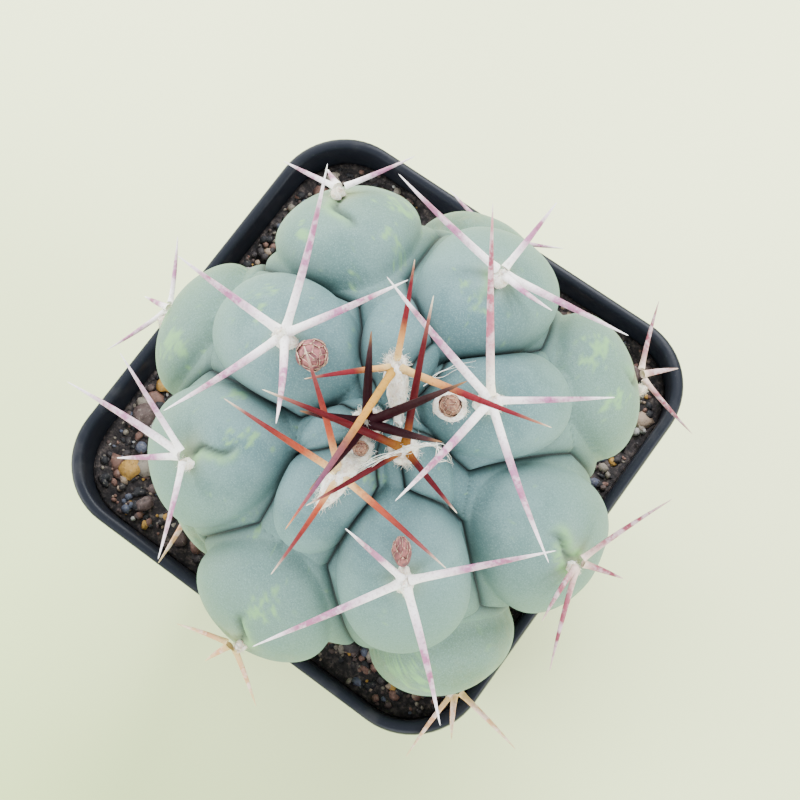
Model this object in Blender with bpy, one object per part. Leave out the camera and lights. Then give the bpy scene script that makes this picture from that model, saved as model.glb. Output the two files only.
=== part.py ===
"""A round cactus growing in a square nursery pot.

Everything is in metres, with +Z up and the origin at the centre of the pot's base.
The stem is a leaning, flattened ball whose pillows follow the spiral of its areoles.
Each areole is a pad of wool with its spines, buds sit beside four of them,
and loose stones lie on the potting soil.
"""

import math
import random

import bmesh
import bpy
import numpy as np
from mathutils import Matrix, Vector
from mathutils.bvhtree import BVHTree

# The space left between two pieces that touch on the real object.
GAP = 0.0003

# The pot: a tapered square tub with a collar and a thick lip.
RIM_WIDTH = 0.080
BASE_WIDTH = 0.056
POT_HEIGHT = 0.070
RIM_CORNER = 0.0125
BASE_CORNER = 0.009
WALL = 0.0012
FLOOR = 0.0015
COLLAR_HEIGHT = 0.009
COLLAR_STEP = 0.0012
LIP_HEIGHT = 0.0022
LIP_PROUD = 0.0006
BASE_EDGE = 0.0012
CORNER_STEPS = 6

# Drainage holes through the floor.
HOLE_RADIUS = 0.0035
HOLE_OFFSET = 0.015
HOLE_SIDES = 16

# The soil stops this far below the top of the lip.
HEADSPACE = 0.0055
SOIL_RINGS = 7
SOIL_ROUGHNESS = 0.0005

# The stem: a flattened ball on a short neck that goes down into the soil.
STEM_RADIUS = 0.0325
CROWN_HEIGHT = 0.021
UNDERSIDE_DEPTH = 0.027
NECK_RADIUS = 0.012
NECK_DEPTH = 0.036
STEM_CENTRE = Vector((0.0056, -0.0020, POT_HEIGHT + 0.020))
LEAN_X = 11.0
LEAN_Y = -8.0
SLUMP = 0.0024
SLUMP_TURN = -54.7
RIB_COUNT = 8
COLUMNS_PER_RIB = 6
STEM_ROWS = 36
STEM_CLEARANCE = 0.0006

# The spiral: each areole is one divergence angle further round than the last,
# and its angle from the crown grows with its age.
AREOLE_COUNT = 17
PILLOW_COUNT = 22
FIRST_TURN = -503.6
DIVERGENCE = 136.126
POLAR_STEP = 8.325
POLAR_GROWTH = 0.946
CROWDED_POLAR = {0: 7.0, 1: 12.0, 2: 15.5, 3: 22.5}
TURN_SHIFT = {0: 20.0, 1: -18.0, 2: -12.0, 3: 3.0, 4: 5.0, 11: -3.0}

# A pillow is an ellipsoid swelling round its areole, larger with age, in degrees and metres.
PILLOW_WIDTH = (9.0, 2.2, 20.0)
PILLOW_OUTWARD = (26.0, 2.0, 34.0)
PILLOW_INWARD = (9.0, 2.4, 24.0)
PILLOW_RISE = (0.0030, 0.0005, 0.0066)
PILLOW_SHARE = {8: 0.8, 10: 0.9, 13: 0.9, 14: 1.35, 16: 0.6, 17: 0.6}
FADE_START = 115.0
FADE_END = 150.0

# Wool pads: half length along the rib, half width and half height.
PAD_HALF = (0.0020, 0.0017, 0.0013)
YOUNG_PAD_HALF = {0: (0.0020, 0.0018, 0.0014), 1: (0.0032, 0.0019, 0.0015),
                  2: (0.0036, 0.0019, 0.0015), 3: (0.0029, 0.0020, 0.0016)}
PAD_LIFT = 0.0006
PAD_SIDES = 8
PAD_RINGS = 5

# Spines, youngest areole first: bearing from the outward direction, lift off the skin, length.
SPINE_BASE_RADIUS = 0.00062
SPINE_TIP_RADIUS = 0.00008
SPINE_ROOT_HEIGHT = 0.0010
SPINE_ROOT_OFFSET = 0.0008
SPINE_POINTS = 4
SPINE_CURVE = 0.05
SPINES = {
    0: [(-115, 35, 0.014), (-180, 52, 0.023), (32, 50, 0.017), (-30, 35, 0.010), (145, 50, 0.016)],
    1: [(145, 35, 0.025), (-142, 35, 0.025), (-90, 25, 0.016), (12, 25, 0.011)],
    2: [(0, 35, 0.015), (115, 30, 0.014), (-107, 25, 0.024), (160, 35, 0.034)],
    3: [(-95, 35, 0.021), (-133, 25, 0.020), (93, 25, 0.020), (4, 30, 0.016)],
    4: [(93, 25, 0.027), (-7, 30, 0.016), (-88, 25, 0.024), (-148, 25, 0.024), (133, 20, 0.024)],
    5: [(-75, 20, 0.023), (2, 30, 0.017), (80, 20, 0.019), (-133, 20, 0.021), (140, 30, 0.018)],
    6: [(110, 20, 0.022), (-152, 25, 0.016), (-84, 20, 0.022), (9, 30, 0.019)],
    7: [(105, 20, 0.020), (1, 25, 0.012), (-90, 15, 0.019), (-115, 25, 0.010)],
    8: [(-48, 20, 0.019), (-83, 20, 0.016), (-11, 25, 0.009), (78, 20, 0.014)],
    9: [(88, 20, 0.015), (17, 20, 0.007), (-108, 15, 0.010), (-78, 15, 0.015)],
    10: [(45, 15, 0.010), (12, 10, 0.005), (-90, 10, 0.011)],
    11: [(-80, 10, 0.008), (-20, 25, 0.006), (45, 15, 0.011)],
    14: [(-95, 35, 0.012), (-150, 45, 0.007), (135, 45, 0.012)],
    16: [(125, 30, 0.010), (-80, 30, 0.007)],
}
OLD_SPINES = [(80, 25, 0.011), (0, 45, 0.008), (-80, 25, 0.011)]

# Flower buds, on the crown side of their areoles: half height, half width, distance along the rib.
BUDS = {3: (0.0018, 0.0014, 8.5), 4: (0.0024, 0.0020, 10.5),
        5: (0.0034, 0.0025, 9.5), 6: (0.0032, 0.0019, 8.0)}
BUD_SIDES = 10
BUD_RINGS = 6

# Loose stones on the soil: centre x and y, and radius.
STONES = [(-0.0325, 0.0250, 0.0024), (-0.0262, 0.0312, 0.0020), (-0.0330, 0.0315, 0.0017),
          (-0.0335, 0.0185, 0.0016), (-0.0200, 0.0335, 0.0017), (-0.0335, -0.0215, 0.0026),
          (-0.0300, -0.0300, 0.0022), (-0.0342, -0.0150, 0.0016), (-0.0240, -0.0330, 0.0019),
          (-0.0340, 0.0040, 0.0020), (-0.0345, -0.0060, 0.0017), (0.0295, 0.0320, 0.0023),
          (0.0335, 0.0255, 0.0016), (0.0225, 0.0335, 0.0018), (0.0060, 0.0345, 0.0019),
          (-0.0070, -0.0345, 0.0021), (-0.0155, -0.0345, 0.0016), (-0.0080, 0.0345, 0.0016)]
STONE_SEED = 7


def clear_scene():
    """Remove the objects that Blender starts with."""
    for obj in list(bpy.data.objects):
        bpy.data.objects.remove(obj, do_unlink=True)


def make_collection(name):
    """A new collection under the scene's own."""
    collection = bpy.data.collections.new(name)
    bpy.context.scene.collection.children.link(collection)
    return collection


def make_material(name, color, roughness, metallic=0.0):
    """A Principled material with one plain colour."""
    material = bpy.data.materials.new(name)
    material.use_nodes = True
    shader = material.node_tree.nodes["Principled BSDF"]
    shader.inputs["Base Color"].default_value = (*color, 1.0)
    shader.inputs["Roughness"].default_value = roughness
    shader.inputs["Metallic"].default_value = metallic
    return material


def object_from_bmesh(bm, name, collection, material=None, parent=None, place=None):
    """Turn a bmesh into a smooth object, placed in its parent's space."""
    bmesh.ops.recalc_face_normals(bm, faces=bm.faces)
    mesh = bpy.data.meshes.new(name)
    bm.to_mesh(mesh)
    bm.free()
    mesh.shade_smooth()
    mesh.set_sharp_from_angle(angle=math.radians(50))
    obj = bpy.data.objects.new(name, mesh)
    collection.objects.link(obj)
    obj.parent = parent
    if place is not None:
        obj.matrix_basis = place
    if material is not None:
        mesh.materials.append(material)
    return obj


def hide_helper(obj):
    """Keep a cutter or a guide out of the model."""
    obj.hide_render = True
    obj.display_type = "WIRE"


def add_boolean(obj, other, operation):
    """Join or cut with the exact solver, which also sorts out pieces that cross themselves."""
    modifier = obj.modifiers.new(operation.title(), "BOOLEAN")
    modifier.operation = operation
    modifier.object = other
    modifier.solver = "EXACT"
    modifier.use_self = operation == "UNION"


# ---- The pot ----

def pot_corner(height):
    """Corner radius of the pot's outside at a height: it grows evenly from base to rim."""
    return BASE_CORNER + (RIM_CORNER - BASE_CORNER) * height / POT_HEIGHT


def body_half(height):
    """Half the width of the pot's tapered body, below the collar, at a height."""
    collar_bottom = POT_HEIGHT - COLLAR_HEIGHT
    top = RIM_WIDTH / 2 - LIP_PROUD - COLLAR_STEP
    return BASE_WIDTH / 2 + (top - BASE_WIDTH / 2) * height / collar_bottom


def rounded_square(half, corner):
    """Points round a square with rounded corners, as an array of x and y."""
    sweep = np.linspace(0, math.pi / 2, CORNER_STEPS + 1)
    points = []
    for quarter in range(4):
        angle = sweep + quarter * math.pi / 2
        middle = (quarter + 0.5) * math.pi / 2
        centre = math.sqrt(2) * (half - corner) * np.array([math.cos(middle), math.sin(middle)])
        arc = np.stack([np.cos(angle), np.sin(angle)], axis=1) * corner
        points.append(centre + arc)
    return np.concatenate(points)


def loft(rings):
    """A closed body through rings of equal length, with a flat face over each end."""
    bm = bmesh.new()
    loops = [[bm.verts.new(point) for point in ring] for ring in rings]
    for lower, upper in zip(loops, loops[1:]):
        for i in range(len(lower)):
            j = (i + 1) % len(lower)
            bm.faces.new((lower[i], lower[j], upper[j], upper[i]))
    bm.faces.new(list(reversed(loops[0])))
    bm.faces.new(loops[-1])
    return bm


def ring_at(half, corner, height):
    """A rounded square at one height, as points in space."""
    flat = rounded_square(half, corner)
    return [(x, y, height) for x, y in flat]


def pot_outside():
    """The pot's outer sections from the base up to the lip: half width and height."""
    collar_bottom = POT_HEIGHT - COLLAR_HEIGHT
    collar_half = RIM_WIDTH / 2 - LIP_PROUD
    lip_bottom = POT_HEIGHT - LIP_HEIGHT
    return [
        (BASE_WIDTH / 2 - BASE_EDGE, 0.0),
        (BASE_WIDTH / 2, BASE_EDGE),
        (body_half(collar_bottom), collar_bottom),
        (collar_half - COLLAR_STEP / 4, collar_bottom + COLLAR_STEP / 2),
        (collar_half, lip_bottom - LIP_PROUD),
        (RIM_WIDTH / 2, lip_bottom),
        (RIM_WIDTH / 2, POT_HEIGHT - LIP_PROUD),
        (RIM_WIDTH / 2 - LIP_PROUD, POT_HEIGHT),
    ]


def pot_inside():
    """The pot's inner sections from the lip down to the floor: half width and height."""
    collar_bottom = POT_HEIGHT - COLLAR_HEIGHT
    collar_half = RIM_WIDTH / 2 - LIP_PROUD - WALL
    return [
        (collar_half, POT_HEIGHT),
        (collar_half - LIP_PROUD / 2, POT_HEIGHT - LIP_PROUD),
        (collar_half - LIP_PROUD / 2, POT_HEIGHT - LIP_HEIGHT),
        (collar_half - COLLAR_STEP / 2, collar_bottom + COLLAR_STEP),
        (body_half(collar_bottom) - WALL, collar_bottom - COLLAR_STEP),
        (body_half(FLOOR) - WALL, FLOOR),
    ]


def build_pot(parts, cutters):
    """The tub, with four drainage holes cut through its floor."""
    rings = [ring_at(half, pot_corner(height), height) for half, height in pot_outside()]
    rings += [ring_at(half, pot_corner(height) - WALL, height) for half, height in pot_inside()]
    plastic = make_material("pot_plastic", (0.018, 0.020, 0.026), 0.38)
    pot = object_from_bmesh(loft(rings), "pot", parts, plastic)
    bm = bmesh.new()
    for x in (-HOLE_OFFSET, HOLE_OFFSET):
        for y in (-HOLE_OFFSET, HOLE_OFFSET):
            bmesh.ops.create_cone(bm, cap_ends=True, segments=HOLE_SIDES, radius1=HOLE_RADIUS,
                                  radius2=HOLE_RADIUS, depth=4 * FLOOR,
                                  matrix=Matrix.Translation((x, y, FLOOR / 2)))
    holes = object_from_bmesh(bm, "drainage_cutter", cutters)
    hide_helper(holes)
    add_boolean(pot, holes, "DIFFERENCE")
    return pot


# ---- The stem ----

def areole_polar(k):
    """Angle in degrees from the crown to areole k, counted from the youngest."""
    return CROWDED_POLAR.get(k, POLAR_STEP * k ** POLAR_GROWTH)


def areole_turn(k):
    """Angle in degrees round the stem to areole k."""
    return FIRST_TURN + DIVERGENCE * k + TURN_SHIFT.get(k, 0.0)


def grown(rule, k):
    """A size that starts at rule[0], gains rule[1] with each areole and stops at rule[2]."""
    return min(rule[0] + rule[1] * k, rule[2])


def pillow_height(k, polar, turn):
    """How far pillow k stands out at each direction: a half ellipsoid, negative beyond its edge."""
    along = polar - areole_polar(k)
    across = (turn - areole_turn(k) + 180.0) % 360.0 - 180.0
    middle = np.radians(np.clip((polar + areole_polar(k)) / 2, 1.0, 179.0))
    reach = np.where(along > 0, grown(PILLOW_OUTWARD, k), grown(PILLOW_INWARD, k))
    inside = 1 - (along / reach) ** 2 - (across * np.sin(middle) / grown(PILLOW_WIDTH, k)) ** 2
    rise = grown(PILLOW_RISE, k) * PILLOW_SHARE.get(k, 1.0)
    return rise * np.where(inside > 0, np.sqrt(np.abs(inside)), inside / 2)


def rib_height(rib, polar, turn):
    """The highest of the pillows that follow one another down a rib."""
    return np.max([pillow_height(k, polar, turn) for k in range(rib, PILLOW_COUNT, RIB_COUNT)], axis=0)


def stem_height(polar, turn):
    """The highest pillow at each direction, fading out under the stem."""
    tallest = np.max([rib_height(rib, polar, turn) for rib in range(RIB_COUNT)], axis=0)
    fade = np.clip((FADE_END - polar) / (FADE_END - FADE_START), 0.0, 1.0)
    return np.maximum(tallest, 0.0) * fade


def ball_radius(polar):
    """The plain stem: a half ellipsoid above, a deeper one below, and the neck round its foot."""
    angle = np.radians(polar)
    half_height = np.where(polar < 90, CROWN_HEIGHT, UNDERSIDE_DEPTH)
    ball = 1 / np.sqrt((np.sin(angle) / STEM_RADIUS) ** 2 + (np.cos(angle) / half_height) ** 2)
    side = NECK_RADIUS / np.maximum(np.sin(angle), 1e-6)
    foot = NECK_DEPTH / np.maximum(-np.cos(angle), 1e-6)
    return np.where(polar > 90, np.maximum(ball, np.minimum(side, foot)), ball)


def stem_point(polar, turn, clearance=0.0):
    """Points of the stem's skin in its own frame, for arrays of directions in degrees."""
    a, b = np.radians(polar), np.radians(turn)
    away = np.stack([np.sin(a) * np.cos(b), np.sin(a) * np.sin(b), np.cos(a)], axis=-1)
    radius = ball_radius(polar) + stem_height(polar, turn) + clearance
    slump = SLUMP * (1 - np.cos(a)) * np.clip((175.0 - polar) / 40.0, 0.0, 1.0)
    shift = np.array([math.cos(math.radians(SLUMP_TURN)), math.sin(math.radians(SLUMP_TURN)), 0.0])
    return away * radius[..., None] + slump[..., None] * shift


def rib_order():
    """The ribs' numbers in order round the stem, by the turns of their youngest areoles."""
    turns = [(areole_turn(rib) % 360.0, rib) for rib in range(RIB_COUNT)]
    return [rib for _, rib in sorted(turns)]


def rib_turn(rib, polar):
    """The turn of a rib's middle line, straight from each areole to the next one down."""
    chain = list(range(rib, PILLOW_COUNT, RIB_COUNT))
    polars = [areole_polar(k) for k in chain]
    turns = [areole_turn(k) - DIVERGENCE * k + drift(k) for k in chain]
    return areole_turn(rib) % 360.0 + np.interp(polar, polars, turns) - turns[0]


def drift(k):
    """How far the spiral has crept round from its rib by areole k: it nearly closes every eighth."""
    return (RIB_COUNT * DIVERGENCE - 3 * 360.0) * (k // RIB_COUNT)


def groove_turns(polar):
    """The turn of each groove at each polar angle: where the ribs on its two sides are level."""
    order = rib_order()
    even = np.clip((polar - 12.0) / 18.0, 0.0, 1.0)
    grooves = []
    for i, rib in enumerate(order):
        after = order[(i + 1) % RIB_COUNT]
        low = rib_turn(rib, polar)
        high = rib_turn(after, polar) + (360.0 if i == RIB_COUNT - 1 else 0.0)
        start, width = low, high - low
        low, high = start + 0.2 * width, start + 0.8 * width
        for _ in range(24):
            middle = (low + high) / 2
            first_wins = rib_height(rib, polar, middle) > rib_height(after, polar, middle)
            low = np.where(first_wins, middle, low)
            high = np.where(first_wins, high, middle)
        level = (low + high) / 2
        grooves.append(level * even + (start + width / 2) * (1 - even))
    return np.array(grooves)


def build_stem_mesh(clearance):
    """A sphere whose columns are moved to follow the grooves, then swollen into the stem."""
    bm = bmesh.new()
    columns = RIB_COUNT * COLUMNS_PER_RIB
    bmesh.ops.create_uvsphere(bm, u_segments=columns, v_segments=STEM_ROWS, radius=1.0)
    bmesh.ops.triangulate(bm, faces=bm.faces)
    sphere = np.array([vert.co for vert in bm.verts])
    polar = np.degrees(np.arccos(np.clip(sphere[:, 2], -1.0, 1.0)))
    column = np.degrees(np.arctan2(sphere[:, 1], sphere[:, 0])) % 360.0 * columns / 360.0
    column = np.round(column) % columns
    grooves = groove_turns(polar)
    strip = (column // COLUMNS_PER_RIB).astype(int)
    share = column % COLUMNS_PER_RIB / COLUMNS_PER_RIB
    index = np.arange(len(polar))
    start = grooves[strip, index]
    end = np.where(strip == RIB_COUNT - 1, grooves[0] + 360.0, grooves[(strip + 1) % RIB_COUNT, index])
    points = stem_point(polar, start + (end - start) * share, clearance)
    for vert, point in zip(bm.verts, points):
        vert.co = point
    return bm


def stem_frame():
    """The stem's place: its axis leans towards +X and -Y."""
    x, y = math.sin(math.radians(LEAN_X)), math.sin(math.radians(LEAN_Y))
    up = Vector((x, y, math.sqrt(1 - x * x - y * y)))
    right = Vector((0.0, 1.0, 0.0)).cross(up).normalized()
    turned = Matrix((right, up.cross(right), up)).transposed().to_4x4()
    return Matrix.Translation(STEM_CENTRE) @ turned


def build_stem(parts, cutters):
    """The stem, and a slightly larger copy that clears whatever sits on it."""
    skin = make_material("stem_skin", (0.24, 0.33, 0.28), 0.62)
    stem = object_from_bmesh(build_stem_mesh(0.0), "cactus_stem", parts, skin, None, stem_frame())
    cutter = object_from_bmesh(build_stem_mesh(STEM_CLEARANCE), "stem_cutter", cutters, None, None,
                               stem_frame())
    hide_helper(cutter)
    return stem, cutter


def skin_place(polar, turn):
    """A frame on the skin, in the stem's space: X outward down the rib, Z straight off the skin."""
    step = 1.5
    around = step / max(math.sin(math.radians(polar)), 0.1)
    polars = np.array([polar, polar + step, polar - step, polar, polar])
    turns = np.array([turn, turn, turn, turn + around, turn - around])
    point, below, above, left, right = (Vector(row) for row in stem_point(polars, turns))
    out = (below - above).normalized()
    off = out.cross(left - right).normalized()
    turned = Matrix((out, off.cross(out), off)).transposed().to_4x4()
    return Matrix.Translation(point) @ turned


# ---- Areoles, spines and buds ----

def spines_of(k):
    """The spines of areole k, as rows of bearing, lift and length."""
    return SPINES.get(k, OLD_SPINES)


def spine_points(bearing, lift, length):
    """Points along a spine that curves slightly away from the skin, and its radius at each."""
    b, a = math.radians(bearing), math.radians(lift)
    flat = Vector((math.cos(b), math.sin(b), 0.0))
    ahead = flat * math.cos(a) + Vector((0.0, 0.0, math.sin(a)))
    aside = Vector((0.0, 0.0, math.cos(a))) - flat * math.sin(a)
    root = flat * SPINE_ROOT_OFFSET + Vector((0.0, 0.0, SPINE_ROOT_HEIGHT))
    rows = []
    for i in range(SPINE_POINTS):
        s = i / (SPINE_POINTS - 1)
        thickness = SPINE_BASE_RADIUS + (SPINE_TIP_RADIUS - SPINE_BASE_RADIUS) * s ** 1.6
        rows.append((root + ahead * length * s + aside * SPINE_CURVE * length * s * s, thickness))
    return rows


def build_spines(k, cutters, parent, place):
    """The spines of one areole as a mesh of tubes, made from bevelled curves."""
    curve = bpy.data.curves.new(f"spines_{k:02d}", "CURVE")
    curve.dimensions = "3D"
    curve.bevel_depth = 1.0
    curve.bevel_resolution = 1
    curve.use_fill_caps = True
    for bearing, lift, length in spines_of(k):
        spline = curve.splines.new("POLY")
        spline.points.add(SPINE_POINTS - 1)
        for point, (where, thickness) in zip(spline.points, spine_points(bearing, lift, length)):
            point.co = (*where, 1.0)
            point.radius = thickness
    rough = bpy.data.objects.new("spine_curve", curve)
    bpy.context.scene.collection.objects.link(rough)
    graph = bpy.context.evaluated_depsgraph_get()
    bm = bmesh.new()
    bm.from_mesh(bpy.data.meshes.new_from_object(rough.evaluated_get(graph)))
    bpy.data.objects.remove(rough, do_unlink=True)
    bmesh.ops.remove_doubles(bm, verts=bm.verts, dist=1e-6)
    spines = object_from_bmesh(bm, f"spines_{k:02d}", cutters, None, parent, place)
    hide_helper(spines)
    return spines


def build_areole(k, parts, cutters, stem, stem_cutter, material):
    """A pad of wool on the skin with its spines joined to it, held clear of the stem."""
    place = skin_place(areole_polar(k), areole_turn(k))
    length, width, height = YOUNG_PAD_HALF.get(k, PAD_HALF)
    bm = bmesh.new()
    size = Matrix.Diagonal((length, width, height, 1.0))
    bmesh.ops.create_uvsphere(bm, u_segments=PAD_SIDES, v_segments=PAD_RINGS, radius=1.0,
                              matrix=Matrix.Translation((0.0, 0.0, PAD_LIFT)) @ size)
    areole = object_from_bmesh(bm, f"areole_{k:02d}", parts, material, stem, place)
    add_boolean(areole, build_spines(k, cutters, stem, place), "UNION")
    add_boolean(areole, stem_cutter, "DIFFERENCE")
    return areole


def build_bud(k, parts, stem, stem_cutter, material):
    """A pointed ovoid that stands on the skin, on the crown side of areole k."""
    half_height, half_width, inward = BUDS[k]
    place = skin_place(areole_polar(k) - inward, areole_turn(k))
    bm = bmesh.new()
    bmesh.ops.create_uvsphere(bm, u_segments=BUD_SIDES, v_segments=BUD_RINGS, radius=1.0)
    for vert in bm.verts:
        taper = 1.0 - 0.25 * max(vert.co.z, 0.0)
        vert.co.x *= half_width * taper
        vert.co.y *= half_width * taper
        vert.co.z = half_height * (vert.co.z + 0.7)
    bud = object_from_bmesh(bm, f"flower_bud_{k:02d}", parts, material, stem, place)
    add_boolean(bud, stem_cutter, "DIFFERENCE")
    return bud


# ---- Soil and stones ----

def soil_bump(x, y):
    """Small hills and hollows of the soil's surface, as a sum of three waves."""
    wave = math.sin(310 * x + 1.3) + math.sin(270 * y + 0.4) + math.sin(190 * (x - y))
    return SOIL_ROUGHNESS * wave / 1.5


def build_soil(parts, stem_cutter):
    """Soil that fills the pot up to the headspace, with a socket for the stem."""
    level = POT_HEIGHT - HEADSPACE
    walls = [(half, height) for half, height in reversed(pot_inside()) if height < level]
    lower, upper = walls[-1], pot_inside()[2]
    share = (level - lower[1]) / (upper[1] - lower[1])
    edge = lower[0] + (upper[0] - lower[0]) * share
    walls[0] = (walls[0][0], FLOOR + GAP)
    rings = []
    for half, height in walls + [(edge, level)]:
        rings.append(ring_at(half - GAP, pot_corner(height) - WALL - GAP, height))
    outline = rounded_square(edge - GAP, pot_corner(level) - WALL - GAP)
    for i in range(1, SOIL_RINGS + 1):
        shrink = 1 - i / (SOIL_RINGS + 1)
        rings.append([(x, y, level + soil_bump(x, y)) for x, y in outline * shrink])
    earth = make_material("potting_soil", (0.10, 0.075, 0.055), 0.95)
    soil = object_from_bmesh(loft(rings), "potting_soil", parts, earth)
    add_boolean(soil, stem_cutter, "DIFFERENCE")
    return soil


def build_stones(parts, soil):
    """Stones of odd shapes, each lowered until it nearly touches the soil."""
    dice = random.Random(STONE_SEED)
    grit = make_material("grit_stone", (0.30, 0.22, 0.18), 0.85)
    graph = bpy.context.evaluated_depsgraph_get()
    surface = BVHTree.FromObject(soil, graph)
    sky = POT_HEIGHT
    for number, (x, y, radius) in enumerate(STONES, 1):
        bm = bmesh.new()
        bmesh.ops.create_icosphere(bm, subdivisions=1, radius=radius)
        squash = Vector((dice.uniform(0.85, 1.1), dice.uniform(0.75, 1.0), dice.uniform(0.6, 0.8)))
        for vert in bm.verts:
            vert.co = vert.co * squash * dice.uniform(0.88, 1.1)
        bmesh.ops.rotate(bm, verts=bm.verts, matrix=Matrix.Rotation(dice.uniform(0, math.pi), 3, "Z"))
        lift = max(GAP + ground_height(surface, x + vert.co.x, y + vert.co.y, sky) - vert.co.z
                   for vert in bm.verts)
        place = Matrix.Translation((x, y, lift))
        object_from_bmesh(bm, f"grit_stone_{number:02d}", parts, grit, None, place)


def ground_height(surface, x, y, sky):
    """Height of the soil under a point."""
    hit = surface.ray_cast(Vector((x, y, sky)), Vector((0.0, 0.0, -1.0)))[0]
    return hit.z if hit else POT_HEIGHT - HEADSPACE


def main():
    clear_scene()
    parts = make_collection("potted_round_cactus")
    cutters = make_collection("cutters")
    build_pot(parts, cutters)
    stem, stem_cutter = build_stem(parts, cutters)
    bpy.context.view_layer.update()
    old_spines = make_material("old_spines_and_wool", (0.80, 0.68, 0.70), 0.55)
    young_spines = make_material("young_spines_and_wool", (0.33, 0.05, 0.05), 0.5)
    for k in range(AREOLE_COUNT):
        build_areole(k, parts, cutters, stem, stem_cutter, young_spines if k < 4 else old_spines)
    scales = make_material("bud_scales", (0.55, 0.30, 0.28), 0.6)
    for k in BUDS:
        build_bud(k, parts, stem, stem_cutter, scales)
    soil = build_soil(parts, stem_cutter)
    bpy.context.view_layer.update()
    build_stones(parts, soil)
    bpy.context.view_layer.update()


main()
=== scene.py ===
# %% [markdown]
# # A potted round cactus, seen from above
#
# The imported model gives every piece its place: the tapered pot, the soil, the stem, each areole
# with its spines, the buds and the stones. This notebook keeps those places and makes the surfaces
# again at full quality. Everything is in metres, with +Z up and the pot's base at the origin.
# We load the frame first, because all sizes below have to agree with it, and we keep its box.

import math

import bpy
import numpy as np
from mathutils import Matrix, Vector


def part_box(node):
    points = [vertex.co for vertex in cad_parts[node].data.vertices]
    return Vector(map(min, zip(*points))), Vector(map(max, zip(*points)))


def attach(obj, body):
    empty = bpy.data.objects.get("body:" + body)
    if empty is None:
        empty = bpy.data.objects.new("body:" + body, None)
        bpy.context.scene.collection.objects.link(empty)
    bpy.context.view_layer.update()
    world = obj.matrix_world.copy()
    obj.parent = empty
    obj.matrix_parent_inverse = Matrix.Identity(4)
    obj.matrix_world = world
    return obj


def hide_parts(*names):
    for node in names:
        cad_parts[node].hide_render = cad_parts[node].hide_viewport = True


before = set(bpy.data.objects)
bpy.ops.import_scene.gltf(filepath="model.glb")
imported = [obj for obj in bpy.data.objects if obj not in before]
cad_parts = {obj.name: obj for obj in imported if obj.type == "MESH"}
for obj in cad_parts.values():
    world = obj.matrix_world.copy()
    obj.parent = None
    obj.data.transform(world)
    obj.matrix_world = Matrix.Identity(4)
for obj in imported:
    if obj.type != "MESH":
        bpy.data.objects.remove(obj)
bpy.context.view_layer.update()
MM = 0.001
print("frame with", len(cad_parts), "nodes")

# %% [markdown]
# ## Helpers for meshes
#
# Each piece is a surface worked out as arrays. `add_piece` puts points and faces into a mesh with
# `foreach_set`, which copies a whole array at once and is far quicker than adding faces in a loop.
# Extra arrays, one value for each point, become attributes that a material can read, such as how
# far along a spine a point lies.

# %% Put arrays into a mesh
def add_piece(name, points, faces, finish, slot, replaces=(), **attributes):
    """Make a smooth object from points and a list of face arrays, and let it ride on the frame."""
    mesh = bpy.data.meshes.new(name)
    points = np.asarray(points, np.float32).reshape(-1, 3)
    faces = [np.asarray(block, np.int32) for block in faces]
    counts = np.concatenate([np.full(len(block), block.shape[1], np.int32) for block in faces])
    corners = np.concatenate([block.ravel() for block in faces])
    mesh.vertices.add(len(points))
    mesh.vertices.foreach_set("co", points.ravel())
    mesh.loops.add(len(corners))
    mesh.loops.foreach_set("vertex_index", corners)
    mesh.polygons.add(len(counts))
    mesh.polygons.foreach_set("loop_start", np.concatenate([[0], np.cumsum(counts)[:-1]]).astype(np.int32))
    mesh.update(calc_edges=True)
    for key, values in attributes.items():
        values = np.asarray(values, np.float32)
        if values.ndim == 2:
            colour = np.concatenate([values, np.ones((len(values), 1), np.float32)], axis=1)
            mesh.attributes.new(key, "FLOAT_COLOR", "POINT").data.foreach_set("color", colour.ravel())
        else:
            mesh.attributes.new(key, "FLOAT", "POINT").data.foreach_set("value", values)
    mesh.validate()
    mesh.shade_smooth()
    mesh.materials.append(finish.material)
    piece = bpy.data.objects.new(name, mesh)
    bpy.context.scene.collection.objects.link(piece)
    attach(piece, "root")
    if replaces:
        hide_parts(*replaces)
    print(name, len(points), "points,", int((counts - 2).sum()), "triangles")
    return piece


def grid_faces(rows, columns, closed=True, first=0):
    """Quads between the rows of a grid of points; a closed grid joins its two edge columns."""
    across = columns if closed else columns - 1
    i, j = np.meshgrid(np.arange(rows - 1), np.arange(across), indexing="ij")
    after = (j + 1) % columns
    quads = np.stack([i * columns + j, (i + 1) * columns + j,
                      (i + 1) * columns + after, i * columns + after], axis=-1)
    return quads.reshape(-1, 4) + first


def fan_faces(ring, tip, outward=True):
    """Triangles from a ring of point numbers to one point that closes it."""
    after = np.roll(ring, -1)
    tips = np.full(len(ring), tip)
    order = (ring, after, tips) if outward else (after, ring, tips)
    return np.stack(order, axis=-1)


def spin_columns(count):
    """Angles of evenly spaced columns round a piece, in radians."""
    return np.arange(count) * math.tau / count


# %% [markdown]
# Living skin, wool and soil are never perfectly even. Smooth value noise gives them their lumps: a
# random number sits at each corner of a lattice of cubes, and the numbers are blended across each
# cube with a smooth step. A whole-number hash makes the numbers, so each run gives the same shape.

# %% Smooth noise
def lattice_number(cell, seed):
    """A number from 0 to 1 for each lattice corner, from a whole-number hash of its place."""
    mixed = cell[..., 0] * 73856093 ^ cell[..., 1] * 19349663 ^ cell[..., 2] * 83492791
    mixed = (mixed ^ seed * 2654435761) & 0xFFFFFFFF
    mixed = (mixed ^ (mixed >> 13)) * 1274126177 & 0xFFFFFFFF
    return ((mixed ^ (mixed >> 16)) & 0xFFFF) / 65535.0


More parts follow.
